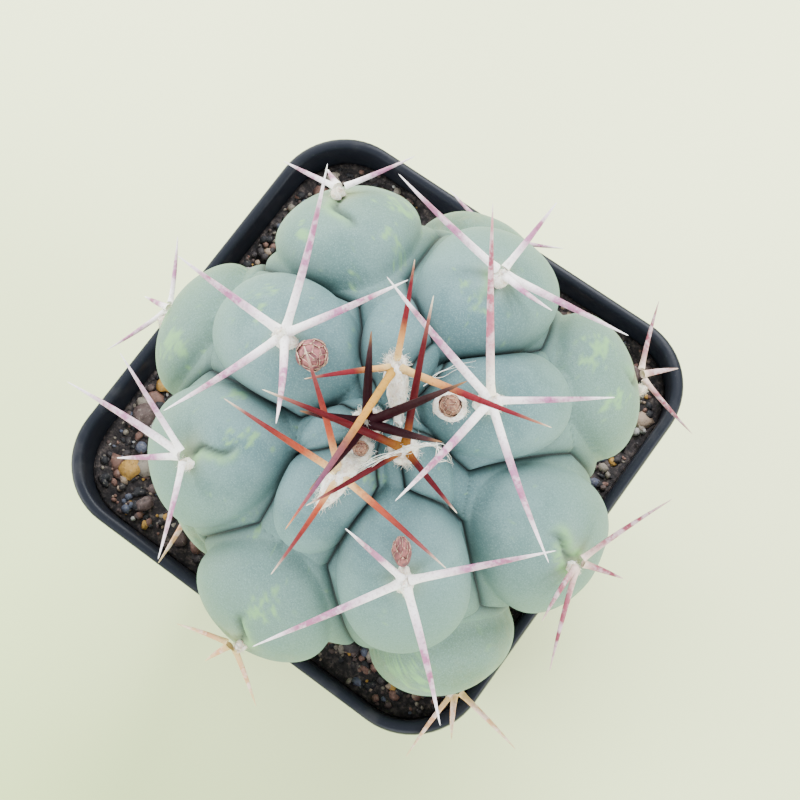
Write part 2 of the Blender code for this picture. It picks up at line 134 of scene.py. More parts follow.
def smooth_noise(points, cell_size, seed):
    """Value noise from -1 to 1: lattice numbers blended by t * t * (3 - 2 * t) along each axis."""
    spot = np.asarray(points) / cell_size
    cell = np.floor(spot).astype(np.int64)
    part = spot - cell
    blend = part * part * (3 - 2 * part)
    total = 0.0
    for corner in np.ndindex(2, 2, 2):
        weight = np.prod(np.where(np.array(corner) == 1, blend, 1 - blend), axis=-1)
        total = total + weight * lattice_number(cell + np.array(corner), seed)
    return 2 * total - 1


print("noise at the origin", round(float(smooth_noise(np.zeros(3), 0.01, 1)), 3))

# %% [markdown]
# ## Helpers for materials
#
# Shader maths reads best as ordinary expressions. `Number` wraps a socket, and adding, subtracting
# or multiplying it adds the Math node. `Finish` holds one material and makes any other node with
# one method, so each finish below is a few readable lines.

# %% Shader numbers and finishes
class Number:
    """A shader value that grows Math nodes when it is used in an expression."""

    def __init__(self, finish, socket):
        self.finish = finish
        self.socket = socket

    def math(self, operation, *values):
        return self.finish.node("ShaderNodeMath", {"operation": operation}, dict(enumerate(values)))

    def __add__(self, other):
        return self.math("ADD", self, other)

    def __radd__(self, other):
        return self.math("ADD", other, self)

    def __sub__(self, other):
        return self.math("SUBTRACT", self, other)

    def __rsub__(self, other):
        return self.math("SUBTRACT", other, self)

    def __mul__(self, other):
        return self.math("MULTIPLY", self, other)

    def clamped(self):
        """The value, held between 0 and 1."""
        return self.finish.node("ShaderNodeClamp", {}, {0: self, 1: 0.0, 2: 1.0})

    def band(self, low, high):
        """0 below low, 1 above high, and smooth between them."""
        settings = {"interpolation_type": "SMOOTHSTEP"}
        return self.finish.node("ShaderNodeMapRange", settings, {0: self, 1: low, 2: high, 3: 0.0, 4: 1.0})


class Finish:
    """One material: a Principled shader with fixed values, and the nodes that feed it."""

    def __init__(self, name, **constants):
        self.material = bpy.data.materials.new(name)
        self.material.use_nodes = True
        self.tree = self.material.node_tree
        self.shader = self.tree.nodes["Principled BSDF"]
        for key, value in constants.items():
            self.shader.inputs[key.replace("_", " ")].default_value = value

    def node(self, kind, settings=None, sockets=None, output=0):
        """Add a node, set it up, fill or link its sockets, and return one of its outputs."""
        made = self.tree.nodes.new(kind)
        for key, value in (settings or {}).items():
            if key == "stops":
                self.set_stops(made.color_ramp, value)
            else:
                setattr(made, key, value)
        for key, value in (sockets or {}).items():
            if isinstance(value, Number):
                self.tree.links.new(value.socket, made.inputs[key])
            else:
                made.inputs[key].default_value = value
        return Number(self, made.outputs[output])

    @staticmethod
    def set_stops(ramp, stops):
        """Give a colour ramp the places and colours of the stops."""
        while len(ramp.elements) < len(stops):
            ramp.elements.new(1.0)
        for element, (where, colour) in zip(ramp.elements, stops):
            element.position = where
            element.color = (*colour, 1.0)

    def place(self):
        """Coordinates of the object, in metres."""
        return self.node("ShaderNodeTexCoord", output="Object")

    def attribute(self, name, output="Fac"):
        """A value or a colour stored on the mesh."""
        return self.node("ShaderNodeAttribute", {"attribute_name": name}, output=output)

    def noise(self, scale, detail=2.0, roughness=0.5, where=None):
        sockets = {"Vector": where or self.place(), "Scale": scale, "Detail": detail, "Roughness": roughness}
        return self.node("ShaderNodeTexNoise", {}, sockets)

    def stretched(self, scale):
        """Object coordinates scaled differently along each axis, for a pattern that is drawn out."""
        return self.node("ShaderNodeMapping", {}, {"Vector": self.place(), "Scale": scale})

    def cells(self, scale):
        """Distance to the nearest of many scattered centres."""
        return self.node("ShaderNodeTexVoronoi", {}, {"Vector": self.place(), "Scale": scale})

    def mix(self, factor, first, second, way="MIX"):
        """Blend two colours; a plain tuple becomes the socket's own colour."""
        sockets = {0: factor}
        for key, colour in ((6, first), (7, second)):
            sockets[key] = colour if isinstance(colour, Number) else (*colour, 1.0)
        return self.node("ShaderNodeMix", {"data_type": "RGBA", "blend_type": way}, sockets, output=2)

    def ramp(self, factor, stops, way="LINEAR"):
        made = self.node("ShaderNodeValToRGB", {"stops": stops}, {0: factor})
        made.socket.node.color_ramp.interpolation = way
        return made

    def bump(self, height, distance, strength):
        """A normal that tilts as if the surface rose by height times distance."""
        return self.node("ShaderNodeBump", {}, {"Height": height, "Distance": distance, "Strength": strength})

    def feed(self, **links):
        """Link each value to the shader's input of the same name."""
        for key, value in links.items():
            self.tree.links.new(value.socket, self.shader.inputs[key.replace("_", " ")])


print("helpers ready")

# %% [markdown]
# ## Camera
#
# The plant is seen from almost straight above, with the pot turned to stand on a corner in the
# view. The camera stands about a quarter of a metre over the rim. Three vectors fix it: where it
# stands, which way it looks and which way is up in the view.

# %% Camera
CAMERA_PLACE = Vector((0.0551, -0.0408, 0.3260))
CAMERA_LOOK = Vector((-0.2027, 0.1733, -0.9638))
CAMERA_UP = Vector((-0.5576, 0.7886, 0.2591))
CAMERA_LENS = 72.0

camera_data = bpy.data.cameras.new("camera")
camera_data.lens = CAMERA_LENS
camera_data.sensor_width = 36.0
camera_data.clip_start = 0.01
camera = bpy.data.objects.new("camera", camera_data)
bpy.context.scene.collection.objects.link(camera)
camera_right = CAMERA_LOOK.cross(CAMERA_UP).normalized()
camera_top = camera_right.cross(CAMERA_LOOK).normalized()
camera_turn = Matrix((camera_right, camera_top, -CAMERA_LOOK.normalized())).transposed().to_4x4()
camera.matrix_world = Matrix.Translation(CAMERA_PLACE) @ camera_turn
bpy.context.scene.camera = camera
print("camera", round(CAMERA_PLACE.length, 3), "m from the origin")

# %% [markdown]
# ## Floor and light
#
# The pot stands on a pale, slightly green surface, with painted shade on the side away from the
# window. The light is that of a bright room: a large soft lamp to one side and above as the window,
# four weaker ones low down all round, and an even glow. The low lamps, each given as a turn in
# degrees and a power in watts, lighten the outward slopes of the domes, and the grooves keep their
# soft dark lines, which are painted shade in the skin's colour.

# %% Floor and lights
FLOOR_HALF = 4.0
# FLOOR_SHADY is painted shade on the side away from the window; FLOOR_PALE is the lit side.
FLOOR_SHADY, FLOOR_PALE = (0.52, 0.65, 0.25), (0.92, 0.98, 0.56)
FLOOR_BLEND = 0.12
LAMP_TINT, SKY_TINT = (0.97, 0.99, 1.0), (0.94, 0.98, 1.0)
SKY_STRENGTH = 0.95
WINDOW_PLACE, WINDOW_SIZE, WINDOW_POWER = (-0.12, 0.76, 0.80), 0.6, 23.0
LOW_LAMPS = [(10, 12.0), (150, 11.0), (215, 18.0), (300, 11.5)]
LOW_LAMP_REACH, LOW_LAMP_HEIGHT, LOW_LAMP_SIZE = 0.9, 0.38, 0.7
LAMP_AIM = Vector((0.0, 0.0, 0.08))


def make_floor_finish():
    """Pale green, with painted shade: darker and greener on the side away from the window."""
    finish = Finish("floor_paint", Roughness=0.7)
    across = finish.node("ShaderNodeSeparateXYZ", {}, {0: finish.place()}, output=1)
    patches = finish.noise(9.0, 2.0) * 0.06
    # Painted shade: the floor gets darker towards -Y, away from the window.
    share = (across + patches).band(-FLOOR_BLEND, FLOOR_BLEND)
    finish.feed(Base_Color=finish.mix(share, FLOOR_SHADY, FLOOR_PALE))
    return finish


def add_floor():
    """A flat square with nothing on it."""
    corners = np.array([(-1, -1, 0), (1, -1, 0), (1, 1, 0), (-1, 1, 0)], float) * FLOOR_HALF
    mesh = bpy.data.meshes.new("floor")
    mesh.from_pydata(corners.tolist(), [], [(0, 1, 2, 3)])
    mesh.materials.append(make_floor_finish().material)
    floor = bpy.data.objects.new("floor", mesh)
    bpy.context.scene.collection.objects.link(floor)


def add_lamp(name, place, size, power):
    """A square lamp that faces the plant."""
    lamp = bpy.data.lights.new(name, "AREA")
    lamp.size = size
    lamp.energy = power
    lamp.color = LAMP_TINT
    holder = bpy.data.objects.new(name, lamp)
    aim = LAMP_AIM - Vector(place)
    holder.matrix_world = Matrix.Translation(place) @ aim.to_track_quat("-Z", "Y").to_matrix().to_4x4()
    bpy.context.scene.collection.objects.link(holder)


def add_sky():
    """An even glow from all round."""
    world = bpy.data.worlds.new("room")
    world.use_nodes = True
    glow = world.node_tree.nodes["Background"]
    glow.inputs["Color"].default_value = (*SKY_TINT, 1.0)
    glow.inputs["Strength"].default_value = SKY_STRENGTH
    bpy.context.scene.world = world


add_floor()
add_lamp("window", WINDOW_PLACE, WINDOW_SIZE, WINDOW_POWER)
for lamp_number, (turn, power) in enumerate(LOW_LAMPS):
    x, y = math.cos(math.radians(turn)), math.sin(math.radians(turn))
    place = (LOW_LAMP_REACH * x, LOW_LAMP_REACH * y, LOW_LAMP_HEIGHT)
    add_lamp(f"low_lamp_{lamp_number}", place, LOW_LAMP_SIZE, power)
add_sky()
print("floor and lights ready")

# %% [markdown]
# ## The shape of the stem
#
# The body is a flattened ball. Its areoles follow a spiral: each one is a fixed divergence angle
# further round than the last, and its angle from the crown grows with age. Round every areole the
# skin swells into a pillow, half an ellipsoid. The highest pillow at each direction gives the
# surface, so neighbours meet in sharp grooves, as they do on the real plant. These sizes are the
# ones that the solid model uses, so spines and buds land on the same spots.

# %% Sizes of the stem
POT_HEIGHT = round(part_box("pot")[1].z, 4)
STEM_RADIUS = 32.5 * MM
CROWN_HEIGHT = 21.0 * MM
UNDERSIDE_DEPTH = 27.0 * MM
NECK_RADIUS = 12.0 * MM
NECK_DEPTH = 36.0 * MM
STEM_CENTRE = np.array([5.6 * MM, -2.0 * MM, POT_HEIGHT + 20.0 * MM])
LEAN_X, LEAN_Y = 11.0, -8.0
SLUMP, SLUMP_TURN = 2.4 * MM, -54.7
RIB_COUNT = 8
AREOLE_COUNT = 17
PILLOW_COUNT = 22
FIRST_TURN = -503.6
DIVERGENCE = 136.126
POLAR_STEP, POLAR_GROWTH = 8.325, 0.946
CROWDED_POLAR = {0: 7.0, 1: 12.0, 2: 15.5, 3: 22.5}
TURN_SHIFT = {0: 20.0, 1: -18.0, 2: -12.0, 3: 3.0, 4: 5.0, 11: -3.0}
PILLOW_WIDTH = (9.0, 2.2, 20.0)
PILLOW_OUTWARD = (26.0, 2.0, 34.0)
PILLOW_INWARD = (9.0, 2.4, 24.0)
PILLOW_RISE = (3.0 * MM, 0.5 * MM, 6.6 * MM)
PILLOW_SHARE = {8: 0.8, 10: 0.9, 13: 0.9, 14: 1.35, 16: 0.6, 17: 0.6}
FADE_START, FADE_END = 115.0, 150.0


def areole_polar(k):
    """Angle in degrees from the crown to areole k, counted from the youngest."""
    return CROWDED_POLAR.get(k, POLAR_STEP * k ** POLAR_GROWTH)


def areole_turn(k):
    """Angle in degrees round the stem to areole k."""
    return FIRST_TURN + DIVERGENCE * k + TURN_SHIFT.get(k, 0.0)


def grown(rule, k):
    """A size that starts at rule[0], gains rule[1] with each areole and stops at rule[2]."""
    return min(rule[0] + rule[1] * k, rule[2])


def pillow_height(k, polar, turn):
    """Pillow k: its rise times the square root of 1 minus the squared distance from its areole."""
    along = polar - areole_polar(k)
    across = (turn - areole_turn(k) + 180.0) % 360.0 - 180.0
    middle = np.radians(np.clip((polar + areole_polar(k)) / 2, 1.0, 179.0))
    reach = np.where(along > 0, grown(PILLOW_OUTWARD, k), grown(PILLOW_INWARD, k))
    inside = 1 - (along / reach) ** 2 - (across * np.sin(middle) / grown(PILLOW_WIDTH, k)) ** 2
    rise = grown(PILLOW_RISE, k) * PILLOW_SHARE.get(k, 1.0)
    return rise * np.where(inside > 0, np.sqrt(np.abs(inside)), inside / 2)


def rib_pillows(rib, polar, turn):
    """The heights of the pillows that follow one another down a rib."""
    return np.stack([pillow_height(k, polar, turn) for k in range(rib, PILLOW_COUNT, RIB_COUNT)])


def pillow_stack(polar, turn):
    """The heights of all pillows at each direction, in order of age."""
    return np.stack([pillow_height(k, polar, turn) for k in range(PILLOW_COUNT)])


def swelling(polar, turn):
    """The highest pillow at each direction, fading out under the stem."""
    fade = np.clip((FADE_END - polar) / (FADE_END - FADE_START), 0.0, 1.0)
    return np.maximum(pillow_stack(polar, turn).max(axis=0), 0.0) * fade


def ball_radius(polar):
    """The plain stem: a half ellipsoid above, a deeper one below, and the neck round its foot."""
    angle = np.radians(polar)
    half_height = np.where(polar < 90, CROWN_HEIGHT, UNDERSIDE_DEPTH)
    ball = 1 / np.sqrt((np.sin(angle) / STEM_RADIUS) ** 2 + (np.cos(angle) / half_height) ** 2)
    side = NECK_RADIUS / np.maximum(np.sin(angle), 1e-6)
    foot = NECK_DEPTH / np.maximum(-np.cos(angle), 1e-6)
    return np.where(polar > 90, np.maximum(ball, np.minimum(side, foot)), ball)


lean_x, lean_y = math.sin(math.radians(LEAN_X)), math.sin(math.radians(LEAN_Y))
stem_up = np.array([lean_x, lean_y, math.sqrt(1 - lean_x ** 2 - lean_y ** 2)])
stem_right = np.cross([0.0, 1.0, 0.0], stem_up)
stem_right /= np.linalg.norm(stem_right)
STEM_AXES = np.stack([stem_right, np.cross(stem_up, stem_right), stem_up])
slump_way = np.array([math.cos(math.radians(SLUMP_TURN)), math.sin(math.radians(SLUMP_TURN)), 0.0])


def skin_point(polar, turn, lift=0.0):
    """Points of the skin: the direction times ball plus pillow plus lift, slumped and leaned."""
    polar, turn = np.broadcast_arrays(np.asarray(polar, float), np.asarray(turn, float))
    a, b = np.radians(polar), np.radians(turn)
    away = np.stack([np.sin(a) * np.cos(b), np.sin(a) * np.sin(b), np.cos(a)], axis=-1)
    radius = ball_radius(polar) + swelling(polar, turn) + lift
    slump = SLUMP * (1 - np.cos(a)) * np.clip((175.0 - polar) / 40.0, 0.0, 1.0)
    return (away * radius[..., None] + slump[..., None] * slump_way) @ STEM_AXES + STEM_CENTRE


def skin_frame(polar, turn):
    """A point on the skin and three directions there: outward down the rib, sideways and off."""
    step = 1.5
    around = step / max(math.sin(math.radians(polar)), 0.1)
    point, below, above, left, right = skin_point(
        np.array([polar, polar + step, polar - step, polar, polar]),
        np.array([turn, turn, turn, turn + around, turn - around]))
    out = (below - above) / np.linalg.norm(below - above)
    off = np.cross(out, left - right)
    off /= np.linalg.norm(off)
    return point, np.stack([out, np.cross(off, out), off])


print("crown at", np.round(skin_point(0.0, 0.0), 4))

# %% [markdown]
# A plain grid of longitudes would cut across the grooves and leave their edges ragged. Each rib is
# therefore a strip of columns between its two grooves. A groove lies where the ribs on its two
# sides are equally high, and halving the interval again and again finds that angle for every row at
# once. The columns crowd towards the grooves, where the skin bends most.

# %% Find the grooves
COLUMNS_PER_RIB = 60
UPPER_ROWS, LOWER_ROWS = 172, 28
UPPER_LIMIT = 126.0
HALVINGS = 26


def rib_turn(rib, polar):
    """The turn of a rib's middle line, straight from each areole to the next one down."""
    chain = list(range(rib, PILLOW_COUNT, RIB_COUNT))
    creep = RIB_COUNT * DIVERGENCE - 3 * 360.0
    turns = [TURN_SHIFT.get(k, 0.0) + creep * (k // RIB_COUNT) for k in chain]
    polars = [areole_polar(k) for k in chain]
    return areole_turn(rib) % 360.0 + np.interp(polar, polars, turns) - turns[0]


def groove_turns(polar):
    """The turn of each groove at each polar angle, found by halving; even near the crown."""
    order = sorted(range(RIB_COUNT), key=lambda rib: areole_turn(rib) % 360.0)
    even = np.clip((polar - 12.0) / 18.0, 0.0, 1.0)
    grooves = []
    for i, rib in enumerate(order):
        after = order[(i + 1) % RIB_COUNT]
        start = rib_turn(rib, polar)
        width = rib_turn(after, polar) + (360.0 if i == RIB_COUNT - 1 else 0.0) - start
        low, high = start + 0.2 * width, start + 0.8 * width
        for _ in range(HALVINGS):
            middle = (low + high) / 2
            first = rib_pillows(rib, polar, middle).max(axis=0)
            second = rib_pillows(after, polar, middle).max(axis=0)
            low = np.where(first > second, middle, low)
            high = np.where(first > second, high, middle)
        grooves.append(middle * even + (start + width / 2) * (1 - even))
    return np.array(grooves)


row_polar = np.concatenate([np.linspace(0.5, UPPER_LIMIT, UPPER_ROWS),
                            np.linspace(UPPER_LIMIT + 1.2, 179.0, LOWER_ROWS)])
grooves = groove_turns(row_polar)
print("rows", len(row_polar), "widest strip", round(float(np.diff(grooves, axis=0).max()), 1), "degrees")

# %% [markdown]
# The grid now carries the fine shape. Along each groove the skin tucks in a little further, and
# where one pillow follows another down a rib a shallow crease crosses it. A wavy furrow runs from
# each old areole towards the crown, and broad, low lumps keep the domes from looking turned on a
# lathe. The same arrays tell the material where grooves, creases, furrows, stains, old corky skin
# and pale scars lie, and where painted shade darkens the grooves, valleys, creases and furrows.

# %% Build the stem's surface
# LINE_WIDTH and VALLEY_WIDTH only shape painted shade in the skin's colour; TUCK_WIDTH shapes both the tuck
# and its painted shade.
TUCK_DEPTH, TUCK_WIDTH, LINE_WIDTH, VALLEY_WIDTH = 1.25 * MM, 0.85 * MM, 0.26 * MM, 2.4 * MM
CREASE_DEPTH, CREASE_WIDTH = 0.40 * MM, 0.13 * MM
FURROW_LENGTH = {7: 9, 8: 15, 9: 11, 10: 14, 11: 12, 12: 12, 13: 12, 14: 9}
FURROW_WIDTH, FURROW_DEPTH = 0.62 * MM, 0.75 * MM
BAND_WIDTH, BAND_OFFSET = 0.9 * MM, 1.1 * MM
FIRST_STAINED, STAIN_RADIUS = 4, 2.8 * MM
METRES_PER_DEGREE = math.radians(1.0) * (STEM_RADIUS + 4 * MM)
SCARS = [(21, 298, 4), (51, 207, 4), (44, 224, 5), (52, 173, 6), (43, 89, 4), (45, 96, 4), (59, 124, 5),
         (51, 140, 3), (72, 124, 6), (66, 273, 5), (68, 55, 4), (73, 59, 5), (78, 195, 6), (64, 0, 5),
         (60, 254, 4), (66, 150, 4), (71, 44, 4), (84, 312, 6), (92, 230, 8), (90, 20, 8)]


def stem_grid():
    """Polar and turn of each grid point, and its distance in metres from the nearest groove."""
    step = np.arange(COLUMNS_PER_RIB) / COLUMNS_PER_RIB
    share = 0.45 * step + 0.55 * (1 - np.cos(np.pi * step)) / 2
    after = np.concatenate([grooves[1:], grooves[:1] + 360.0])
    turn = grooves[:, :, None] + (after - grooves)[:, :, None] * share
    turn = turn.transpose(1, 0, 2).reshape(len(row_polar), -1)
    polar = np.repeat(row_polar[:, None], turn.shape[1], axis=1)
    side = np.minimum(share, 1 - share) * (after - grooves)[:, :, None]
    side = side.transpose(1, 0, 2).reshape(polar.shape)
    gap = np.radians(side) * np.sin(np.radians(polar)) * (STEM_RADIUS + PILLOW_RISE[2])
    return polar, turn, gap


def crease_nearness(polar, turn):
    """1 where two pillows of one rib are level, less as the difference of their heights grows."""
    stack = pillow_stack(polar, turn)
    owner = stack.argmax(axis=0)
    ages = np.arange(PILLOW_COUNT)[:, None, None]
    same_rib = (ages % RIB_COUNT == owner % RIB_COUNT) & (ages != owner)
    rival = np.where(same_rib, stack, -1.0).max(axis=0)
    return np.exp(-(stack.max(axis=0) - rival) / CREASE_WIDTH)


def scar_mask(polar, turn, points):
    """1 inside ragged patches round the chosen spots, given as polar, turn and size in degrees."""
    total = np.zeros(polar.shape)
    streaky = points * np.array([1.0, 0.55, 0.8])
    ragged = smooth_noise(streaky, 0.9 * MM, 5) + 0.8 * smooth_noise(points, 0.45 * MM, 6)
    for spot_polar, spot_turn, size in SCARS:
        across = ((turn - spot_turn + 180) % 360 - 180) * np.sin(np.radians(polar))
        near = np.exp(-((polar - spot_polar) ** 2 + across ** 2) / size ** 2)
        total = np.maximum(total, near)
    return np.clip((total * 1.1 + 0.75 * ragged - 0.80) * 2.2, 0.0, 1.0)


def areole_marks(polar, turn):
    """Wavy furrows that run from old areoles to the crown, pale bands beside them, and round stains."""
    furrow, band, stain = (np.zeros(polar.shape) for _ in range(3))
    for k in range(FIRST_STAINED, AREOLE_COUNT):
        along = areole_polar(k) - polar
        wave = 2.0 * np.sin(np.radians(along * 24.0 + 70.0 * k)) * np.clip(along / 4.0, 0.0, 1.0)
        around = (turn - areole_turn(k) - wave + 180.0) % 360.0 - 180.0
        across = around * np.sin(np.radians(polar)) * METRES_PER_DEGREE
        distance = np.hypot(across, along * METRES_PER_DEGREE)
        stain = np.maximum(stain, np.exp(-(distance / STAIN_RADIUS) ** 2) * min(k / 10.0, 1.0))
        if k in FURROW_LENGTH:
            window = np.clip(along / 1.5, 0.0, 1.0) * np.clip((FURROW_LENGTH[k] - along) / 5.0, 0.0, 1.0)
            furrow = np.maximum(furrow, np.exp(-(across / FURROW_WIDTH) ** 2) * window)
            band = np.maximum(band, np.exp(-((across - BAND_OFFSET) / BAND_WIDTH) ** 2) * window)
    return furrow, band, stain


def build_stem(finish):
    """Skin grid with tucks, creases, furrows and lumps, closed at the crown and under the foot."""
    polar, turn, gap = stem_grid()
    above = np.clip((150.0 - polar) / 30.0, 0.0, 1.0) * np.clip((polar - 4.0) / 9.0, 0.0, 1.0)
    tuck = np.exp(-gap / TUCK_WIDTH) * above
    line = np.exp(-(gap / LINE_WIDTH) ** 2) * above
    crease = crease_nearness(polar, turn) * above * np.clip((polar - 14.0) / 8.0, 0.0, 1.0)
    furrow, band, stain = areole_marks(polar, turn)
    plain = skin_point(polar, turn)
    lumps = 0.22 * smooth_noise(plain, 11 * MM, 2) + 0.10 * smooth_noise(plain, 4 * MM, 3)
    lift = lumps * MM - TUCK_DEPTH * tuck - CREASE_DEPTH * crease - FURROW_DEPTH * furrow
    points = skin_point(polar, turn, lift)
    rows, columns = polar.shape
    crown, foot = skin_point(0.0, 0.0), skin_point(180.0, 0.0)
    everything = np.concatenate([points.reshape(-1, 3), [crown, foot]])
    first, last = np.arange(columns), np.arange(columns) + (rows - 1) * columns
    faces = [grid_faces(rows, columns), fan_faces(first, rows * columns, True),
             fan_faces(last, rows * columns + 1, False)]
    ragged = 1 + 0.8 * smooth_noise(plain, 1.1 * MM, 12)
    scars = np.maximum(scar_mask(polar, turn, plain), np.clip(band * ragged * 0.75, 0.0, 1.0))
    cork = np.clip((polar - 80.0) / 35.0 + 0.25 * smooth_noise(plain, 5 * MM, 9), 0.0, 1.0) * (polar > 74)
    neck = np.clip((polar - 112.0) / 20.0 + 0.3 * smooth_noise(plain, 3 * MM, 17), 0.0, 1.0)
    # The tuck, line, crease, furrow and valley masks also darken the skin's colour as painted shade.
    fields = {"tuck": tuck, "line": line, "crease": crease, "furrow": furrow, "stain": stain,
              "scar": scars, "cork": cork, "neck": neck,
              "low": np.clip((polar - 40.0) / 50.0, 0.0, 1.0),
              "crown": np.clip((45.0 - polar) / 25.0, 0.0, 1.0),
              "valley": np.exp(-gap / VALLEY_WIDTH) * above}
    fields = {key: np.append(value.ravel(), [0.0, 0.0]) for key, value in fields.items()}
    add_piece("cactus_stem_skin", everything, faces, finish, "stem_skin", ["cactus_stem"], **fields)
    return points


# %% [markdown]
# The skin is matt and waxy. Its blue-green is broken by countless pale granules about a quarter of
# a millimetre across. It is greener low down, tan where it is old and corky and brown at the neck,
# and it has light green scars. Painted shade makes it almost black in the grooves and darker in
# the valleys, creases and furrows. All of that goes into the base colour, one layer over another,
# and the granules also give a fine bump.

# %% The skin's finish
def make_skin_finish():
    """Layers of colour from the bloom up: granules, stains, scars, cork, and painted shade in the valleys,
    grooves, creases and furrows.
    """
    finish = Finish("stem_skin", Specular_IOR_Level=0.35, Sheen_Weight=0.08, Sheen_Roughness=0.4,
                    Sheen_Tint=(0.85, 0.95, 1.0, 1.0))
    tuck, crease = finish.attribute("tuck"), finish.attribute("crease")
    scar, cork, low = finish.attribute("scar"), finish.attribute("cork"), finish.attribute("low")
    line, crown = finish.attribute("line"), finish.attribute("crown")
    broad = finish.noise(85.0, 5.0, 0.6).band(0.36, 0.62)
    grains = finish.cells(3600.0)
    speckle = finish.noise(5200.0, 2.0, 0.6)
    bloom = finish.mix(broad, (0.066, 0.142, 0.150), (0.124, 0.224, 0.228))
    young = finish.mix(crown * 0.5, bloom, (0.078, 0.172, 0.190))
    minty = finish.mix(low * 0.85, young, (0.135, 0.235, 0.160))
    green = finish.mix(low * low * broad * 0.7, minty, (0.085, 0.150, 0.075))
    granular = (1 - grains.band(0.20, 0.60)) * speckle.band(0.40, 0.58)
    dotted = finish.mix(granular * 0.38, green, (0.25, 0.39, 0.38))
    pitted = finish.mix(speckle.band(0.52, 0.72) * 0.42, dotted, (0.034, 0.080, 0.084))
    stained = finish.mix(finish.attribute("stain") * 0.6, pitted, (0.31, 0.34, 0.15))
    scarred = finish.mix(scar * 0.72, stained, (0.20, 0.42, 0.15))
    patches = finish.noise(520.0, 5.0, 0.75).band(0.38, 0.72)
    corky = finish.mix(cork * patches * 0.8, scarred, (0.33, 0.30, 0.14))
    footed = finish.mix(finish.attribute("neck") * (0.45 + patches * 0.5), corky, (0.13, 0.085, 0.040))
    # Painted shade: a broad darkening near each groove, then darker still where the skin tucks in.
    valley_shaded = finish.mix(finish.attribute("valley") * 0.60, footed, (0.030, 0.072, 0.076))
    shaded = finish.mix(tuck * 0.75, valley_shaded, (0.016, 0.038, 0.038))
    # Painted shade in the furrows and in the creases between pillows.
    furrow_shaded = finish.mix(finish.attribute("furrow") * 0.9, shaded, (0.022, 0.045, 0.030))
    crease_shaded = finish.mix(crease * crease * 0.75, furrow_shaded, (0.022, 0.042, 0.036))
    # Painted shade: a near-black line down the middle of each groove.
    groove_line_shaded = finish.mix(line * 0.88, crease_shaded, (0.005, 0.009, 0.009))
    height = grains * 0.5 + speckle * 0.8
    finish.feed(Base_Color=groove_line_shaded, Roughness=0.56 + speckle * 0.16,
                Normal=finish.bump(height, 0.00007, 0.6))
    return finish


stem_points = build_stem(make_skin_finish())

# %% [markdown]
# ## Spines
#
# Each areole carries two to five spines that spread from its wool. A spine is a tapered rod: a ring
# of points is carried along its middle line, which bends slightly away from the skin. Young spines
# are almost black, then dark red with an orange foot. With age they turn orange, then pink, and at
# last bone white with pink bands. The lists below give each spine its bearing, its rise from the
# skin in degrees and its length in millimetres. Colour changes along a spine, so it is worked out
# for every point and stored as an attribute, and the material only adds mottling.

# %% Places and colours of the spines
YOUNG_AREOLES = 4
SPINE_BASE_RADIUS = 0.56 * MM
YOUNG_BASE_RADIUS = {0: 0.62 * MM, 1: 0.50 * MM, 2: 0.50 * MM, 3: 0.46 * MM}
SPINE_TIP_RADIUS = 0.06 * MM
SPINE_ROOT_HEIGHT = 1.0 * MM
SPINE_ROOT_OFFSET = 0.8 * MM
SPINE_CURVE, SPINE_SWAY = 0.05, 0.012
SPINE_WIDE, SPINE_FLAT = 1.12, 0.88
SHORT_SPINE, SHORT_SHARE = 17 * MM, 0.82
FOOT_SWELL, FOOT_REACH = 0.28, 0.9 * MM
SPINE_RINGS, SPINE_SIDES = 26, 12
SPINES = {
    0: [(-115, 35, 14), (-180, 52, 23), (32, 50, 17), (-30, 35, 10), (145, 50, 16)],
    1: [(145, 35, 25), (-142, 35, 25), (-90, 25, 16), (12, 25, 11)],
    2: [(0, 35, 15), (115, 30, 14), (-107, 25, 24), (160, 35, 34)],
    3: [(-95, 35, 21), (-133, 25, 20), (93, 25, 20), (4, 30, 16)],
    4: [(93, 25, 27), (-7, 30, 16), (-88, 25, 24), (-148, 25, 24), (133, 20, 24)],
    5: [(-75, 20, 23), (2, 30, 17), (80, 20, 19), (-133, 20, 21), (140, 30, 18)],
    6: [(110, 20, 22), (-152, 25, 16), (-84, 20, 22), (9, 30, 19)],
    7: [(105, 20, 20), (1, 25, 12), (-90, 15, 19), (-115, 25, 10)],
    8: [(-48, 20, 19), (-83, 20, 16), (-11, 25, 9), (78, 20, 14)],
    9: [(88, 20, 15), (17, 20, 7), (-108, 15, 10), (-78, 15, 15)],
    10: [(45, 15, 10), (12, 10, 5), (-90, 10, 11)],
    11: [(-80, 10, 8), (-20, 25, 6), (45, 15, 11)],
    14: [(-95, 35, 12), (-150, 45, 7), (135, 45, 12)],
    16: [(125, 30, 10), (-80, 30, 7)],
}
OLD_SPINES = [(80, 25, 11), (0, 45, 8), (-80, 25, 11)]

NEWEST = [(0.00, (0.020, 0.002, 0.005)), (0.60, (0.013, 0.0012, 0.004)), (0.84, (0.045, 0.016, 0.018)),
          (1.00, (0.248, 0.124, 0.056))]
FRESH = [(0.00, (0.211, 0.093, 0.012)), (0.08, (0.186, 0.053, 0.012)), (0.18, (0.065, 0.004, 0.007)),
         (0.70, (0.080, 0.004, 0.009)), (0.86, (0.223, 0.074, 0.062)), (1.00, (0.736, 0.662, 0.515))]
SECOND = [(0.00, (0.66, 0.47, 0.19)), (0.24, (0.58, 0.27, 0.08)), (0.42, (0.170, 0.014, 0.020)),
          (0.78, (0.140, 0.010, 0.019)), (0.94, (0.30, 0.13, 0.08)), (1.00, (0.66, 0.52, 0.36))]
GOLDEN = [(0.00, (0.50, 0.28, 0.050)), (0.32, (0.46, 0.22, 0.038)), (0.50, (0.150, 0.045, 0.045)),
          (0.74, (0.125, 0.040, 0.085)), (0.92, (0.26, 0.055, 0.040)), (1.00, (0.52, 0.24, 0.10))]
